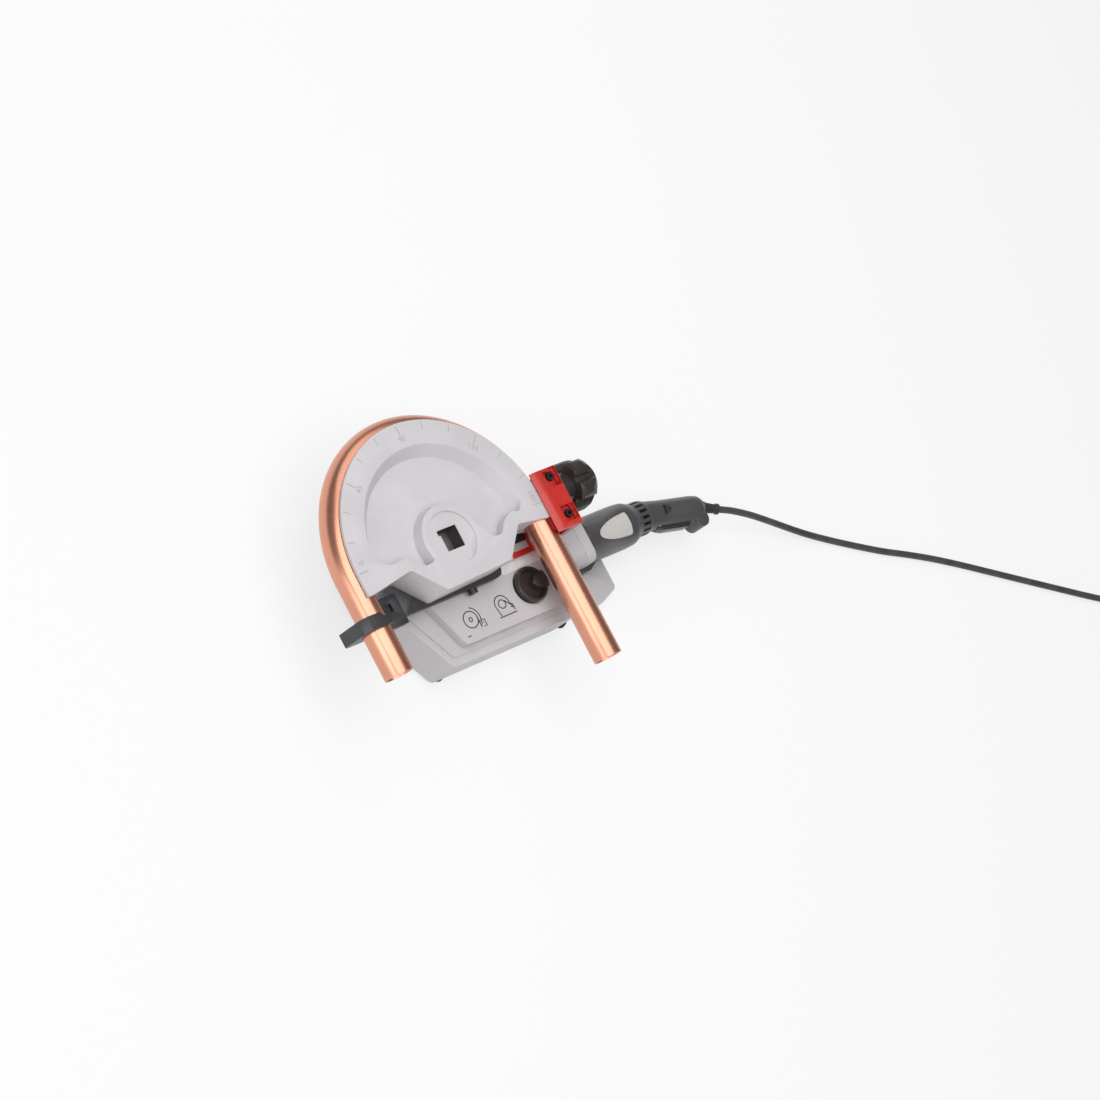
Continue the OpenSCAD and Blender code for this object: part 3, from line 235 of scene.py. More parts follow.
class Finish:
    def __init__(self, name, **shader):
        self.material = bpy.data.materials.new(name)
        self.material.use_nodes = True
        self.tree = self.material.node_tree
        self.shader = self.tree.nodes["Principled BSDF"]
        for key, value in shader.items():
            self.shader.inputs[key.replace("_", " ")].default_value = value

    def add(self, kind, settings, *values, out=0, **named):
        node = self.tree.nodes.new(kind)
        for key, value in settings.items():
            setattr(node, key, value)
        for key, value in [*enumerate(values), *named.items()]:
            socket = node.inputs[key if isinstance(key, int) else key.replace("_", " ")]
            self.feed(socket, value)
        return Value(self, node.outputs[out])

    def feed(self, socket, value):
        if isinstance(value, Value):
            self.tree.links.new(value.socket, socket)
        else:
            socket.default_value = value

    def place(self, scale=(1, 1, 1)):
        here = self.add("ShaderNodeTexCoord", {}, out="Object")
        return self.add("ShaderNodeMapping", {}, Vector=here, Scale=scale)

    def noise(self, scale, detail=2.0, rough=0.5, stretch=(1, 1, 1)):
        there = self.place(stretch)
        sockets = {"Vector": there, "Scale": scale, "Detail": detail, "Roughness": rough}
        return self.add("ShaderNodeTexNoise", {}, **sockets)

    def shade(self, mask, dark, light):
        """A colour between two by a mask."""
        node = self.tree.nodes.new("ShaderNodeMix")
        node.data_type = "RGBA"
        self.feed(node.inputs[0], mask)
        self.feed(node.inputs[6], dark if isinstance(dark, Value) else (*dark, 1.0))
        self.feed(node.inputs[7], light if isinstance(light, Value) else (*light, 1.0))
        return Value(self, node.outputs[2])

    def edge(self, radius=0.0009):
        """How near an edge is: 1 on it, 0 a little way off."""
        round_normal = self.add("ShaderNodeBevel", {"samples": 6}, radius)
        own_normal = self.add("ShaderNodeNewGeometry", {}, out="Normal")
        along = self.dot(round_normal, own_normal)
        return (1.0 - along).between(0.012, 0.16)

    def dot(self, one, other):
        return self.add("ShaderNodeVectorMath", {"operation": "DOT_PRODUCT"}, one, other, out="Value")

    def in_bore(self, radius, top):
        """1 inside an upright bore round the origin, below a height, both in millimetres."""
        here = self.add("ShaderNodeTexCoord", {}, out="Object")
        x, y, z = (self.add("ShaderNodeSeparateXYZ", {}, here, out=axis) for axis in "XYZ")
        return (x * x + y * y < (radius * MM) ** 2) * (z < top * MM)

    def bump(self, height, strength, depth):
        return self.add("ShaderNodeBump", {}, Height=height, Strength=strength, Distance=depth)

    def finish(self, **sockets):
        for key, value in sockets.items():
            self.feed(self.shader.inputs[key.replace("_", " ")], value)
        return self.material


class Sky(Finish):
    def __init__(self, world):
        self.tree = world.node_tree
        self.path = self.tree.nodes.new("ShaderNodeLightPath")


def scaled(colour, by):
    return tuple(min(1.0, c * by) for c in colour)


def cast_paint(name, colour, rough, grain=1500.0, depth=0.00006, shaded_bore=None):
    """Painted casting: fine orange peel, uneven tone, paint worn lighter on edges, and painted shade
    that darkens a bore to near black.
    """
    bore_shade_colour = (0.05, 0.045, 0.042)
    f = Finish(name, Specular_IOR_Level=0.45)
    cloud = f.noise(22.0, 4.0)
    peel = f.noise(grain, 3.0)
    scuff = f.noise(160.0, 3.0, 0.6)
    rim = f.edge(0.0012)
    tone = f.shade(cloud.between(0.35, 0.65), scaled(colour, 0.955), scaled(colour, 1.015))
    tone = f.shade(rim * scuff.between(0.35, 0.7), tone, scaled(colour, 1.14))
    # Painted shade: the bore's walls are coloured near black, as the inside of a deep hole looks
    if shaded_bore:
        radius, top = shaded_bore
        tone = f.shade(f.in_bore(radius, top), tone, bore_shade_colour)
    blur = rough + 0.12 * (cloud - 0.5) - 0.08 * rim
    return f.finish(Base_Color=tone, Roughness=blur, Normal=f.bump(peel, 0.35, depth))


def gloss_paint(name, colour):
    """Thick glossy paint, lighter and thinner along edges."""
    f = Finish(name, Coat_Roughness=0.1)
    cloud = f.noise(35.0, 3.0)
    peel = f.noise(420.0, 2.0)
    rim = f.edge(0.001)
    tone = f.shade(cloud.between(0.3, 0.7), scaled(colour, 0.88), colour)
    thin_paint = (0.86, 0.16, 0.12)
    tone = f.shade(rim * 0.55, tone, thin_paint)
    blur = 0.3 + 0.1 * cloud
    skin = f.bump(peel, 0.25, 0.00008)
    return f.finish(Base_Color=tone, Roughness=blur, Coat_Weight=0.3, Normal=skin)


def moulded(name, colour, rough, grain=1800.0, depth=0.00008, wear=0.5):
    """Moulded plastic with a fine spark grain, polished a little on edges."""
    f = Finish(name, Specular_IOR_Level=0.5)
    cloud = f.noise(30.0, 3.0)
    spark = f.noise(grain, 2.0, 0.6)
    tone = f.shade(cloud.between(0.3, 0.7), scaled(colour, 0.88), scaled(colour, 1.08))
    blur = rough + 0.15 * (spark - 0.5)
    if wear:
        rim = f.edge()
        tone = f.shade(rim * wear, tone, scaled(colour, 1.7))
        blur = blur - 0.1 * rim
    return f.finish(Base_Color=tone, Roughness=blur, Normal=f.bump(spark, 0.4, depth))


def worked_metal(name, colour, rough, stretch=(1, 1, 1), lines=900.0, depth=0.00002, metallic=1.0):
    """Turned, drawn or burnished metal with fine lines along one way, bright on edges."""
    f = Finish(name, Metallic=metallic)
    line = f.noise(lines, 3.0, 0.6, stretch)
    cloud = f.noise(26.0, 3.0)
    rim = f.edge(0.0007)
    tone = f.shade(cloud.between(0.3, 0.7), scaled(colour, 0.86), scaled(colour, 1.06))
    tone = f.shade(rim * 0.6, tone, scaled(colour, 1.8))
    blur = rough + 0.14 * (line - 0.5) + 0.1 * (cloud - 0.5)
    return f.finish(Base_Color=tone, Roughness=blur, Normal=f.bump(line, 0.3, depth))


def rubber(name, colour, rough=0.6):
    """Rubber or soft lead sheath: fine grit, a dull uneven tone."""
    f = Finish(name, Specular_IOR_Level=0.4)
    cloud = f.noise(60.0, 3.0)
    grit = f.noise(2200.0, 2.0)
    tone = f.shade(cloud.between(0.3, 0.7), scaled(colour, 0.8), scaled(colour, 1.2))
    blur = rough + 0.12 * (cloud - 0.5)
    return f.finish(Base_Color=tone, Roughness=blur, Normal=f.bump(grit, 0.3, 0.00005))


def woven(name, colour):
    """Woven strap: threads both ways."""
    f = Finish(name, Roughness=0.85)
    threads = {"Scale": 520.0, "Distortion": 0.6}
    warp = f.add("ShaderNodeTexWave", {"bands_direction": "X"}, Vector=f.place(), **threads)
    weft = f.add("ShaderNodeTexWave", {"bands_direction": "Z"}, Vector=f.place(), **threads)
    weave = warp * weft
    tone = f.shade(weave, scaled(colour, 0.6), scaled(colour, 1.3))
    return f.finish(Base_Color=tone, Normal=f.bump(weave, 0.6, 0.0003))


def copper_tube(name):
    """Drawn copper: warm pinkish tone, fine draw lines, faint handling marks."""
    colour = (0.74, 0.345, 0.235)
    dull = (0.55, 0.25, 0.165)
    f = Finish(name, Metallic=1.0)
    line = f.noise(900.0, 2.0, 0.5, (1, 0.03, 1))
    patch = f.noise(9.0, 3.0, 0.5)
    touch = f.noise(120.0, 4.0, 0.6)
    tone = f.shade(patch.between(0.3, 0.75), colour, scaled(colour, 0.88))
    tone = f.shade(touch.between(0.62, 0.8) * 0.3, tone, dull)
    blur = 0.27 + 0.05 * (line - 0.5) + 0.04 * (touch - 0.5)
    return f.finish(Base_Color=tone, Roughness=blur, Normal=f.bump(line, 0.06, 0.00001))


def printed(name, colour, rough=0.45):
    """Printed or foil marks: flat tone with slightly uneven ink."""
    f = Finish(name, Specular_IOR_Level=0.4)
    ink = f.noise(300.0, 3.0, 0.6)
    tone = f.shade(ink.between(0.3, 0.7), scaled(colour, 0.93), scaled(colour, 1.05))
    blur = rough + 0.1 * (ink - 0.5)
    return f.finish(Base_Color=tone, Roughness=blur, Normal=f.bump(ink, 0.1, 0.00002))


# The drive's square hole is darkened below the former's top as painted shade in the deep hole: radius
# and height
FORMER_BORE = (18.0, FORMER_TOP - 2.8)
FINISHES = {
    "cast_grey": cast_paint("housing_paint", (0.60, 0.58, 0.60), 0.5),
    "plate_grey": cast_paint("cover_paint", (0.42, 0.42, 0.43), 0.55),
    "foot_rubber": rubber("foot_rubber", (0.03, 0.03, 0.032)),
    "screw_steel": worked_metal("plated_screw", (0.62, 0.62, 0.63), 0.34),
    "bolt_black": worked_metal("black_bolt", (0.05, 0.05, 0.055), 0.42, metallic=0.8),
    "bronze": worked_metal("bearing_bronze", (0.62, 0.42, 0.18), 0.36),
    "red_paint": gloss_paint("red_paint", (0.60, 0.022, 0.013)),
    "switch_plastic": moulded("switch_plastic", (0.04, 0.04, 0.042), 0.5),
    "casing_plastic": moulded("casing_plastic", (0.072, 0.07, 0.075), 0.34),
    "lamination": worked_metal("sheet_stack", (0.26, 0.26, 0.27), 0.5, (60, 1, 1)),
    "winding": worked_metal("varnished_wire", (0.55, 0.22, 0.09), 0.4, (1, 30, 30)),
    "carbon": moulded("carbon_block", (0.02, 0.02, 0.02), 0.6),
    "steel": worked_metal("turned_steel", (0.42, 0.41, 0.42), 0.36),
    "cord_rubber": rubber("cord_rubber", (0.06, 0.058, 0.062), 0.42),
    "tie_fabric": woven("tie_weave", (0.03, 0.03, 0.035)),
    "pin_brass": worked_metal("plated_pin", (0.78, 0.74, 0.62), 0.25),
    "former_alloy": cast_paint("former_casting", (0.655, 0.63, 0.655), 0.48, 1100.0, shaded_bore=FORMER_BORE),
    "hook_steel": worked_metal("burnished_steel", (0.075, 0.075, 0.08), 0.42, metallic=0.7),
    "copper": copper_tube("drawn_copper"),
    "fan_plastic": moulded("fan_plastic", (0.6, 0.6, 0.58), 0.5),
    "knob_black": moulded("knob_plastic", (0.036, 0.031, 0.03), 0.27, 2600.0, 0.000004, 0.0),
}

for name, node in NODES.items():
    node.data.materials.clear()
    node.data.materials.append(FINISHES[SLOT[name]])


# Cord: its route, as the part's source has it
def in_handle(along, aside):
    """A point of the leaning handle, from its lengths along and across it."""
    lean = math.radians(-HANDLE_TILT)
    forward = Vector((math.cos(lean), math.sin(lean), 0.0))
    left = Vector((-math.sin(lean), math.cos(lean), 0.0))
    return Vector((HANDLE_X, MOTOR_Y, MOTOR_Z)) + along * forward + aside * left


LEAD_POINTS = [
    (396, -68, 28.4), (410, -74.2, 26.6), (424, -80.6, 23.8), (442, -89, 18.8),
    (462, -98.5, 12.8), (482, -108.5, 7.4), (502, -118.8, 3.2), (522, -129.2, 0.7),
    (542, -140, -0.3), (567, -153.5, -0.5), (592, -166.5, -0.5), (617, -178, -0.5),
    (642, -190, -0.5), (667, -203, -0.5), (692, -217, -0.5), (717, -231.5, -0.5),
    (742, -246, -0.5), (767, -260.5, -0.5), (792, -275, -0.5), (817, -289.5, -0.4),
    (842, -304, -0.2), (867, -318, 0.1), (890, -331, 0.4),
]


def coil_points():
    """Two layers of turns: inwards on the floor, then a step up and outwards again."""
    per_turn = 24
    half = COIL_TURNS / 2
    climb_turns = 0.5
    centre = Vector((*COIL_CENTRE, 0.0))
    low = FLOOR_Z + CORD_D / 2 + TIE_T + TIE_GAP
    points = []
    for i in range(COIL_TURNS * per_turn + 1):
        t = i / per_turn
        a = math.radians(COIL_START - 360.0 * t)
        r = COIL_R + COIL_STEP * abs(t - half)
        climb = min(max((t - half + climb_turns / 2) / climb_turns, 0.0), 1.0)
        points.append(centre + Vector((r * math.cos(a), r * math.sin(a), low + COIL_STEP * climb)))
    return points


def cord_route():
    """The lead's middle line, from the strain relief to the plug."""
    out_turn = math.radians(-HANDLE_TILT - EXIT_TURN)
    way = Vector((math.cos(out_turn), math.sin(out_turn), 0.0))
    start = in_handle(RELIEF_ROOT, RELIEF_SIDE) + RELIEF_END * way
    coil = coil_points()
    first = math.radians(COIL_START)
    on = Vector((math.sin(first), -math.cos(first), 0.0))
    tail = 46.0
    points = [start, start + CORD_D * way, *map(Vector, LEAD_POINTS)]
    points += [coil[0] - 2 * CORD_D * on, coil[0] - CORD_D * on, *coil]
    points += [coil[-1] + tail / 2 * on, coil[-1] + tail * on]
    return [p * MM for p in points]


def spline_length(points):
    return sum((b - a).length for a, b in zip(points, points[1:]))


def cord_curve(points):
    curve = bpy.data.curves.new("mains_cord", "CURVE")
    curve.dimensions = "3D"
    curve.bevel_depth = CORD_D / 2 * MM
    curve.bevel_resolution = 5
    curve.use_fill_caps = True
    spline = curve.splines.new("POLY")
    spline.points.add(len(points) - 1)
    for point, p in zip(spline.points, points):
        point.co = (*p, 1.0)
    spline.use_smooth = True
    obj = bpy.data.objects.new("mains_cord", curve)
    scene.collection.objects.link(obj)
    obj.data.materials.append(FINISHES["cord_rubber"])
    return obj


def smoothed(points, parts=4):
    """Points of a smooth curve through the given ones."""
    out = []
    n = len(points)
    for i in range(n - 1):
        a, b, c, d = points[max(i - 1, 0)], points[i], points[i + 1], points[min(i + 2, n - 1)]
        for k in range(parts):
            t = k / parts
            square = 2 * a - 5 * b + 4 * c - d
            cube = 3 * b - a - 3 * c + d
            out.append(0.5 * (2 * b + (c - a) * t + square * t * t + cube * t * t * t))
    return out + [points[-1]]


route = smoothed(cord_route())
cord = cord_curve(route)
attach(cord, "frame")
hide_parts("cord_lead", "cord_coil")


# Pieces that stand for CAD nodes or are added to them
def fit(obj, slot, body, *replaced, finish=None):
    obj.data.materials.clear()
    obj.data.materials.append(finish or FINISHES[slot])
    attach(obj, body)
    if replaced:
        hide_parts(*replaced)
    return obj


def sharp(edge):
    """How far a convex edge is folded, in degrees."""
    if len(edge.link_faces) != 2:
        return 0.0
    return math.degrees(edge.calc_face_angle_signed(0.0))


def rounded_node(name, width, steps=2, only=None, cuts=()):
    """A copy of a node with pockets cut in it and its sharp outer edges rounded."""
    obj = bpy.data.objects.new(name + "_rounded", NODES[name].data.copy())
    scene.collection.objects.link(obj)
    edit(obj)
    bpy.ops.mesh.select_all(action="SELECT")
    bpy.ops.mesh.remove_doubles(threshold=SAME_POINT)
    bpy.ops.object.mode_set(mode="OBJECT")
    for tool in cuts:
        carve(obj, tool)
    edit(obj)
    bpy.ops.mesh.select_all(action="SELECT")
    bpy.ops.mesh.dissolve_limited(angle_limit=math.radians(FLAT_FOLD))
    mesh = bmesh.from_edit_mesh(obj.data)
    weight = mesh.edges.layers.float.new("bevel_weight_edge")
    for edge in mesh.edges:
        if sharp(edge) > SHARP_FOLD and (only is None or only(edge)):
            edge[weight] = 1.0
    bmesh.update_edit_mesh(obj.data)
    bpy.ops.object.mode_set(mode="OBJECT")
    modify(
        obj, "BEVEL", limit_method="WEIGHT", width=width * MM, segments=steps, use_clamp_overlap=True,
        harden_normals=False,
    )
    soften(obj, 32.0)
    return fit(obj, SLOT[name], NODE_BODY[name], name)


def at_height(*levels):
    """Edges that lie in one of these levels."""
    return lambda edge: any(all(abs(v.co.z / MM - z) < 0.05 for v in edge.verts) for z in levels)


def off_seam(edge):
    """Edges of the casing away from the seam of its halves."""
    return all(abs(v.co.z / MM - MOTOR_Z) > 1.0 for v in edge.verts)


def rise(edge):
    """How far an edge runs up or down."""
    return abs(edge.verts[0].co.z - edge.verts[1].co.z)


def pocket(y):
    """A tool for one of the bracket's cast pockets, wider at the top."""
    draft = (1.16, 1.2, 1.0)
    corner = 2.2
    tool = begin("cube", "pocket_tool", (POCKET_LONG, POCKET_WIDE, 2 * POCKET_DEPTH), size=1.0)
    mesh = edit(tool)
    choose(tool, mesh, "faces", lambda f: f.normal.z > 0.9)
    bpy.ops.transform.resize(value=draft, center_override=(0, 0, POCKET_DEPTH * MM))
    mesh = bmesh.from_edit_mesh(tool.data)
    choose(tool, mesh, "edges", lambda e: rise(e) > POCKET_DEPTH * MM)
    bpy.ops.mesh.bevel(offset=corner * MM, segments=4, affect="EDGES")
    close(tool)
    return put(tool, moved(POCKET_X, y, BRACKET_TOP))


rounded_node("gear_housing", 2.2, 3, at_height(DECK_Z, PANEL_Z, LEDGE_Z))
rounded_node("bending_former", 1.3, 3)
rounded_node("slide_bracket", 0.9, 3, cuts=[pocket(y) for y in POCKET_YS])
rounded_node("pressure_shoe", 0.6)
rounded_node("pipe_hook", 1.0, 3)
rounded_node("hook_arm", 0.8)
rounded_node("star_knob", 2.6, 4)
rounded_node("selector_knob", 0.8, 3)
rounded_node("motor_shell_upper", 0.9, 2, off_seam)
rounded_node("motor_shell_lower", 0.9, 2, off_seam)
rounded_node("paddle_switch", 0.9)
rounded_node("lock_button", 0.5)
rounded_node("plug", 2.5, 4)
rounded_node("copper_pipe", 0.35)


def band(name, wide, high, deep, corner, thick):
    """A closed band of rounded oblong section around the X axis, as a strap or a cast rib."""
    obj = begin("cube", name, (deep, wide, high), size=1.0)
    mesh = edit(obj)
    choose(obj, mesh, "faces", lambda f: abs(f.normal.x) > 0.9)
    bpy.ops.mesh.delete(type="FACE")
    mesh = bmesh.from_edit_mesh(obj.data)
    choose(obj, mesh, "edges", lambda e: abs(e.verts[0].co.x - e.verts[1].co.x) > 0.5 * deep * MM)
    bpy.ops.mesh.bevel(offset=corner * MM, segments=5, profile=0.5, affect="EDGES")
    close(obj)
    modify(obj, "SOLIDIFY", thickness=thick * MM, offset=-1.0, use_even_offset=True)
    break_edges(obj, 60, 0.3 * thick, 2)
    return soften(obj)


def break_edges(obj, fold, width, steps):
    """Rounds every edge folded more than an angle in degrees, by a width in millimetres."""
    which = {"limit_method": "ANGLE", "angle_limit": math.radians(fold)}
    return modify(obj, "BEVEL", width=width * MM, segments=steps, **which)


def neck_flange():
    """Cast band round the end of the neck that carries the motor."""
    wide = 12.0
    proud = 0.7
    corner = 9.5
    thick = 1.2
    set_back = 0.3
    across = 2 * (NECK_HALF + proud)
    flange = band("neck_flange", across, across, wide, corner, thick)
    put(flange, moved(MOTOR_X - set_back - wide / 2, MOTOR_Y, MOTOR_Z))
    return fit(flange, "cast_grey", "frame")


def strap():
    """Woven strap round the coil, with its loose end lying on top."""
    corner = 3.2
    flap_sides = (14.0, TIE_W - 1.5, 0.7)
    flap_corner = 2.0
    flap_x = 2.0
    flap_lift = 0.25
    wide = COIL_OUTER - COIL_R + CORD_D + 2 * TIE_GAP + 2 * TIE_T
    high = COIL_STEP + CORD_D + 2 * TIE_GAP + 2 * TIE_T
    loop = band("loop", high, wide, TIE_W, corner, TIE_T)
    put(loop, moved(0, 0, 0, 90) @ moved(0, 0, 0, 90, "X"))
    flap = begin("cube", "flap", flap_sides, size=1.0)
    mesh = edit(flap)
    choose(flap, mesh, "edges", lambda e: rise(e) > 0.3 * MM)
    bpy.ops.mesh.bevel(offset=flap_corner * MM, segments=4, affect="EDGES")
    close(flap)
    put(flap, moved(flap_x, 0.0, high / 2 + flap_lift))
    whole = joined("coil_strap", [loop, flap])
    turn = COIL_START + 180.0
    middle = (COIL_OUTER + COIL_R) / 2
    put(whole, moved(*COIL_CENTRE, FLOOR_Z, turn) @ moved(middle, 0.0, high / 2))
    return fit(soften(whole), "tie_fabric", "frame", "coil_tie")


def turned(name, profile, sides=40):
    """A piece turned about Z: a disc extruded and resized along its profile of radius and height."""
    first_r, first_h = profile[0]
    start = {"radius": first_r * MM, "location": (0, 0, first_h * MM)}
    obj = begin("circle", name, vertices=sides, fill_type="NGON", **start)
    edit(obj)
    bpy.ops.mesh.select_all(action="SELECT")
    for (r0, h0), (r1, h1) in zip(profile, profile[1:]):
        bpy.ops.mesh.extrude_region_move(TRANSFORM_OT_translate={"value": (0, 0, (h1 - h0) * MM)})
        size = r1 / r0
        bpy.ops.transform.resize(value=(size, size, 1.0), center_override=(0, 0, h1 * MM))
    return soften(close(obj))


def relief():
    """Moulded strain relief: a tapered sleeve with cut rings and an end collar."""
    r = CORD_D / 2
    collar = RELIEF_LEN + 2.4
    profile = [(r + 1.0, 0.5), (r + 1.95, 0.8), (r + 1.95, RELIEF_LEN)]
    profile += [(r + 3.1, RELIEF_LEN + 0.4), (r + 3.1, collar)]
    rings = 5
    for i in range(rings):
        h = RELIEF_LEN + 3.0 + i * 2.9
        wall = r + 2.1 - 0.22 * i
        profile += [(wall - 0.8, h), (wall - 0.8, h + 0.9), (wall, h + 1.1), (wall - 0.1, h + 2.6)]
    profile += [(r + 1.1, RELIEF_END - 2.6), (r + 2.1, RELIEF_END - 2.3)]
    profile += [(r + 2.1, RELIEF_END - 0.3), (r + 1.0, RELIEF_END)]
    obj = turned("cord_relief", profile)
    root = in_handle(RELIEF_ROOT, RELIEF_SIDE)
    put(obj, moved(*root, -HANDLE_TILT - EXIT_TURN) @ moved(0, 0, 0, 90, "Y"))
    return fit(obj, "cord_rubber", "frame", "strain_relief")


neck_flange()
coil_strap = strap()
relief()
spline_length(route)


# Marks: scale of the former, plain signs, unprinted plates on the panel, and a black pad there as
# painted shadow
def meshed(curve):
    """Makes a flat curve or a text a mesh piece."""
    obj = bpy.data.objects.new(curve.name, curve)
    scene.collection.objects.link(obj)
    pick(obj)
    bpy.ops.object.convert(target="MESH")
    return bpy.context.object


def line(points, width):
    """A thin raised line through points in millimetres, in the XY plane."""
    curve = bpy.data.curves.new("line", "CURVE")
    curve.dimensions = "2D"
    curve.fill_mode = "BOTH"
    curve.extrude = LINE_HIGH / 2 * MM
    last = len(points) - 1
    left = []
    right = []
    for i, p in enumerate(points):
        before = Vector(points[max(i - 1, 0)])
        after = Vector(points[min(i + 1, last)])
        way = (after - before).normalized()
        side = Vector((-way.y, way.x)) * width / 2
        left.append(Vector(p) + side)
        right.append(Vector(p) - side)
    outline = left + right[::-1]
    spline = curve.splines.new("POLY")
    spline.points.add(len(outline) - 1)
    for point, p in zip(spline.points, outline):
        point.co = (p.x * MM, p.y * MM, 0.0, 1.0)
    spline.use_cyclic_u = True
    return meshed(curve)


def arc(x, y, r, start, stop, steps=28):
    angles = [math.radians(start + (stop - start) * i / steps) for i in range(steps + 1)]
    return [(x + r * math.cos(a), y + r * math.sin(a)) for a in angles]


def numeral(text, size):
    curve = bpy.data.curves.new("numeral", "FONT")
    curve.body = text
    curve.size = size * MM
    curve.align_x = "CENTER"
    curve.align_y = "CENTER"
    curve.extrude = LINE_HIGH / 2 * MM
    return meshed(curve)


def on_rim(r, angle):
    return (r * math.cos(angle), r * math.sin(angle))


def scale_marks():
    """Degree scale printed on the former's rim: a tick every 15 degrees, a number every 45."""
    tick_step = 15
    number_step = 45
    number_size = 8.0
    end_shift = {0: 4.5, 180: -4.5}
    pieces = []
    for angle in range(0, 181, tick_step):
        major = angle % number_step == 0
        a = math.radians(angle)
        length = 12.0 if major else 9.5
        ends = [on_rim(RIM_R - length, a), on_rim(RIM_R - 2.0, a)]
        pieces.append(line(ends, 1.0 if major else 0.8))
    for angle in range(0, 181, number_step):
        a = math.radians(angle) + math.radians(end_shift.get(angle, 0.0))
        r = RIM_R - (9.0 if angle in end_shift else 16.0)
        word = numeral(str(180 - angle), number_size)
        pieces.append(put(word, moved(*on_rim(r, a), 0.0, angle - 90)))
    marks = joined("former_scale", pieces)
    put(marks, moved(0.0, 0.0, FORMER_TOP + PRINT_LIFT))
    ink = printed("scale_ink", (0.44, 0.425, 0.44), 0.6)
    return fit(marks, "former_alloy", "drive", finish=ink)


def arrow(x, y, turn, size):
    """The three points of an arrow's head round a point."""
    a = math.radians(turn)
    wing = math.radians(130)
    return [(x + size * math.cos(a + s), y + size * math.sin(a + s)) for s in (wing, 0.0, -wing)]


def panel_signs():
    """Plain working signs: a former that turns, and a pipe bent round it."""
    cx, cy = 13.0, -70.0
    former, swing = 8.2, 11.6
    head = arc(cx, cy, swing, -34, 70)[0]
    px, py = 55.0, -68.0
    bend = arc(px, py, 8.5, 20, 200, 24)
    foot = cy - 10.5
    paths = [
        arc(cx, cy, former, 0, 360),
        arc(cx, cy, 2.0, 0, 360, 14),
        arc(cx, cy, swing, -30, 70),
        arrow(*head, 235, 2.6),
        [(cx + former, foot), (cx + former, cy + 1.0)],
        [(cx + 11.4, foot), (cx + 14.6, foot), (cx + 14.6, cy - 4.0), (cx + 11.4, cy - 4.0)],
        [(px + 11.5, py - 9.5), *bend, (px - 6.5, py - 10.5)],
        arc(px, py, 4.2, 0, 360, 22),
        [(px - 9.5, py - 11.5), (px + 12.5, py - 11.5)],
        [(px + 4.0, py + 2.5), (px + 10.5, py - 5.0)],
        arrow(px + 10.5, py - 5.0, -49, 2.4),
        [(1.0, -84.0), (5.0, -84.0)],
    ]
    signs = joined("panel_signs", [line(path, SIGN_LINE) for path in paths])
    put(signs, moved(0.0, 0.0, PANEL_Z + PRINT_LIFT))
    ink = printed("sign_ink", (0.05, 0.05, 0.055), 0.5)
    return fit(signs, "knob_black", "frame", finish=ink)


def plate(name, x0, x1, y0, y1, corner, high):
    """A thin plate with rounded corners and a rounded top edge, on the panel."""
    top_edge = 0.12
    obj = begin("plane", name, (x1 - x0, y1 - y0, 1.0), size=1.0)
    mesh = edit(obj)
    choose(obj, mesh, "verts", lambda v: True)
    bpy.ops.mesh.bevel(offset=corner * MM, segments=5, affect="VERTICES")
    bpy.ops.mesh.select_all(action="SELECT")
    bpy.ops.mesh.extrude_region_move(TRANSFORM_OT_translate={"value": (0, 0, high * MM)})
    close(obj)
    break_edges(obj, 60, top_edge, 2)
    put(obj, moved((x0 + x1) / 2, (y0 + y1) / 2, PANEL_Z))
    return soften(obj)


def motor_plate():
    """Bare shield-shaped plate that follows the top of the motor casing."""
    length, wide, thick = 42.0, 23.0, 0.5
    sleeve = {"radius": (MOTOR_R + thick) * MM, "depth": 60 * MM}
    cut_high = 40.0
    corner = 1.5
    lean = 8.0
    shell = begin("cylinder", "motor_plate", vertices=96, end_fill_type="NOTHING", **sleeve)
    modify(shell, "SOLIDIFY", thickness=2 * thick * MM, offset=-1.0)
    put(shell, moved(MOTOR_PLATE_X, MOTOR_Y, MOTOR_Z, 90, "Y"))
    shield = begin("circle", "shield", vertices=48, radius=0.5 * wide * MM, fill_type="NGON")
    edit(shield)
    bpy.ops.mesh.select_all(action="SELECT")
    bpy.ops.transform.resize(value=(2 * length / wide, 1.0, 1.0))
    half = {"plane_co": (0.0, 0.0, 0.0), "plane_no": (1.0, 0.0, 0.0)}
    bpy.ops.mesh.bisect(use_fill=True, clear_outer=True, **half)
    bpy.ops.mesh.select_all(action="SELECT")
    bpy.ops.mesh.extrude_region_move(TRANSFORM_OT_translate={"value": (0, 0, cut_high * MM)})
    close(shield)
    break_edges(shield, 70, corner, 3)
    put(shield, moved(MOTOR_PLATE_X + 0.5 * length, MOTOR_Y, MOTOR_Z, lean, "X"))
    carve(shell, shield, "INTERSECT")
    foil = printed("plate_foil", (0.62, 0.59, 0.57), 0.4)
    return fit(soften(shell), "cast_grey", "frame", finish=foil)


scale_marks()
panel_signs()
# Painted shadow: a black pad on the panel under the former's right end stands for the deep shade in the
# gap below the former and the pipe
fit(plate("gap_shadow_pad", 94.0, 116.5, -20.5, -2.0, 1.5, 1.2), "foot_rubber", "frame")
fit(plate("red_stripe", 93.0, 126.0, -33.5, -27.5, 0.8, 0.35), "red_paint", "frame")
bare_label = plate("bare_label", 72.0, 124.0, -43.5, -35.0, 1.2, 0.35)
fit(bare_label, "fan_plastic", "frame", finish=printed("label_white", (0.80, 0.77, 0.78)))
motor_plate()


# Stage, light and camera
WHITE = (1.0, 1.0, 1.0, 1.0)
LAMP_AIM = (0.05, 0, 0.05)


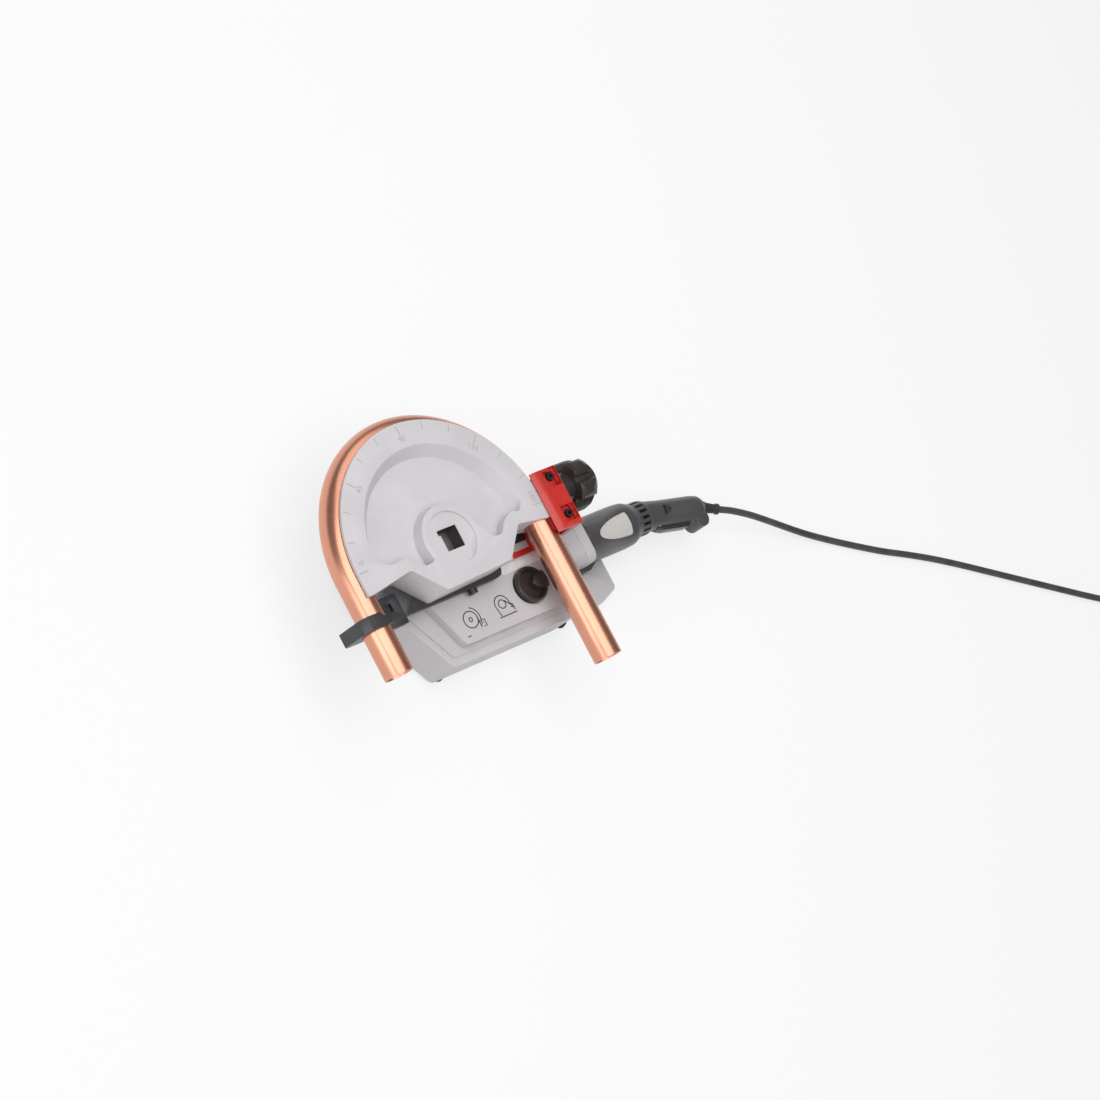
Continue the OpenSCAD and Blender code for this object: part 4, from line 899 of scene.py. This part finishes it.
def floor_material():
    """Pale floor that looks nearly white to the camera and in metal, and keeps the shadow."""
    pale = (0.93, 0.93, 0.93, 1.0)
    glow_share = 0.7
    f = Finish("floor", Base_Color=pale, Roughness=0.9, Specular_IOR_Level=0.0)
    path = f.tree.nodes.new("ShaderNodeLightPath")
    seen = Value(f, path.outputs["Is Camera Ray"]) + Value(f, path.outputs["Is Glossy Ray"])
    glow = f.add("ShaderNodeEmission", {}, WHITE, 1.0)
    own = Value(f, f.shader.outputs[0])
    mixed = f.add("ShaderNodeMixShader", {}, seen.clamp() * glow_share, own, glow)
    f.tree.links.new(mixed.socket, f.tree.nodes["Material Output"].inputs["Surface"])
    return f.material


def build_floor():
    deselect()
    bpy.ops.mesh.primitive_plane_add(size=16.0, location=(0.2, -0.1, FLOOR_Z * MM))
    floor = bpy.context.object
    floor.name = "floor"
    floor.data.materials.append(floor_material())


def build_sky():
    """White to the camera, dim as light, and in metal a pale studio with a bright side at the left."""
    world = bpy.data.worlds.new("studio")
    world.use_nodes = True
    scene.world = world
    sky = Sky(world)
    ambient = 0.32
    way = sky.add("ShaderNodeTexCoord", {}, out="Generated")
    height = sky.add("ShaderNodeSeparateXYZ", {}, way, out="Z")
    side = sky.add("ShaderNodeSeparateXYZ", {}, way, out="X")
    depth = sky.add("ShaderNodeSeparateXYZ", {}, way, out="Y")
    facing = sky.dot(way, Vector((-0.9, -0.2, 0.38)).normalized())
    front = 1.0 - depth.between(0.1, 0.5)
    left = 1.0 - side.between(0.2, 0.7)
    low = 1.0 - height.between(0.0, 0.25)
    mirrored = 0.24 + front * left * (0.3 + 0.4 * facing.between(0.55, 0.97)) + 0.3 * low
    seen = Value(sky, sky.path.outputs["Is Camera Ray"])
    gloss = Value(sky, sky.path.outputs["Is Glossy Ray"])
    strength = ambient + (1.0 - ambient) * seen + gloss * (mirrored - ambient)
    background = sky.tree.nodes["Background"]
    sky.feed(background.inputs["Strength"], strength)
    sky.feed(background.inputs["Color"], WHITE)


def area_light(name, place, size, power):
    data = bpy.data.lights.new(name, "AREA")
    data.shape = "DISK"
    data.size = size
    data.energy = power
    obj = bpy.data.objects.new(name, data)
    scene.collection.objects.link(obj)
    obj.location = place
    obj.rotation_mode = "QUATERNION"
    obj.rotation_quaternion = (Vector(LAMP_AIM) - Vector(place)).to_track_quat("-Z", "Y")


def build_camera():
    """Camera set by the former's middle, which the photograph shows at a known place."""
    image_px = 1100.0
    middle_px = image_px / 2
    former_px_x, former_px_y = 453.0, 537.0
    px_per_mm = 1.1
    distance = 3000.0
    right = Vector((0.6985, -0.4627, 0.546)).normalized()
    up = Vector((0.2888, 0.8806, 0.376)).normalized()
    back = right.cross(up).normalized()
    up = back.cross(right)
    aim_at = Vector((0.0, 0.0, FORMER_TOP))
    aim_at = aim_at + right * (middle_px - former_px_x) / px_per_mm
    aim_at = aim_at + up * (former_px_y - middle_px) / px_per_mm
    data = bpy.data.cameras.new("camera")
    data.sensor_width = 36.0
    data.lens = data.sensor_width * px_per_mm * distance / image_px
    data.clip_end = 50.0
    obj = bpy.data.objects.new("camera", data)
    scene.collection.objects.link(obj)
    turn = Matrix((right, up, back)).transposed().to_4x4()
    obj.matrix_world = Matrix.Translation((aim_at + back * distance) * MM) @ turn
    scene.camera = obj


build_floor()
build_sky()
area_light("key", (-0.4, -0.1, 2.2), 2.8, 36.0)
area_light("back", (0.6, 1.5, 1.5), 1.6, 7.0)
area_light("side", (-2.1, -0.35, 1.0), 1.3, 8.0)
build_camera()
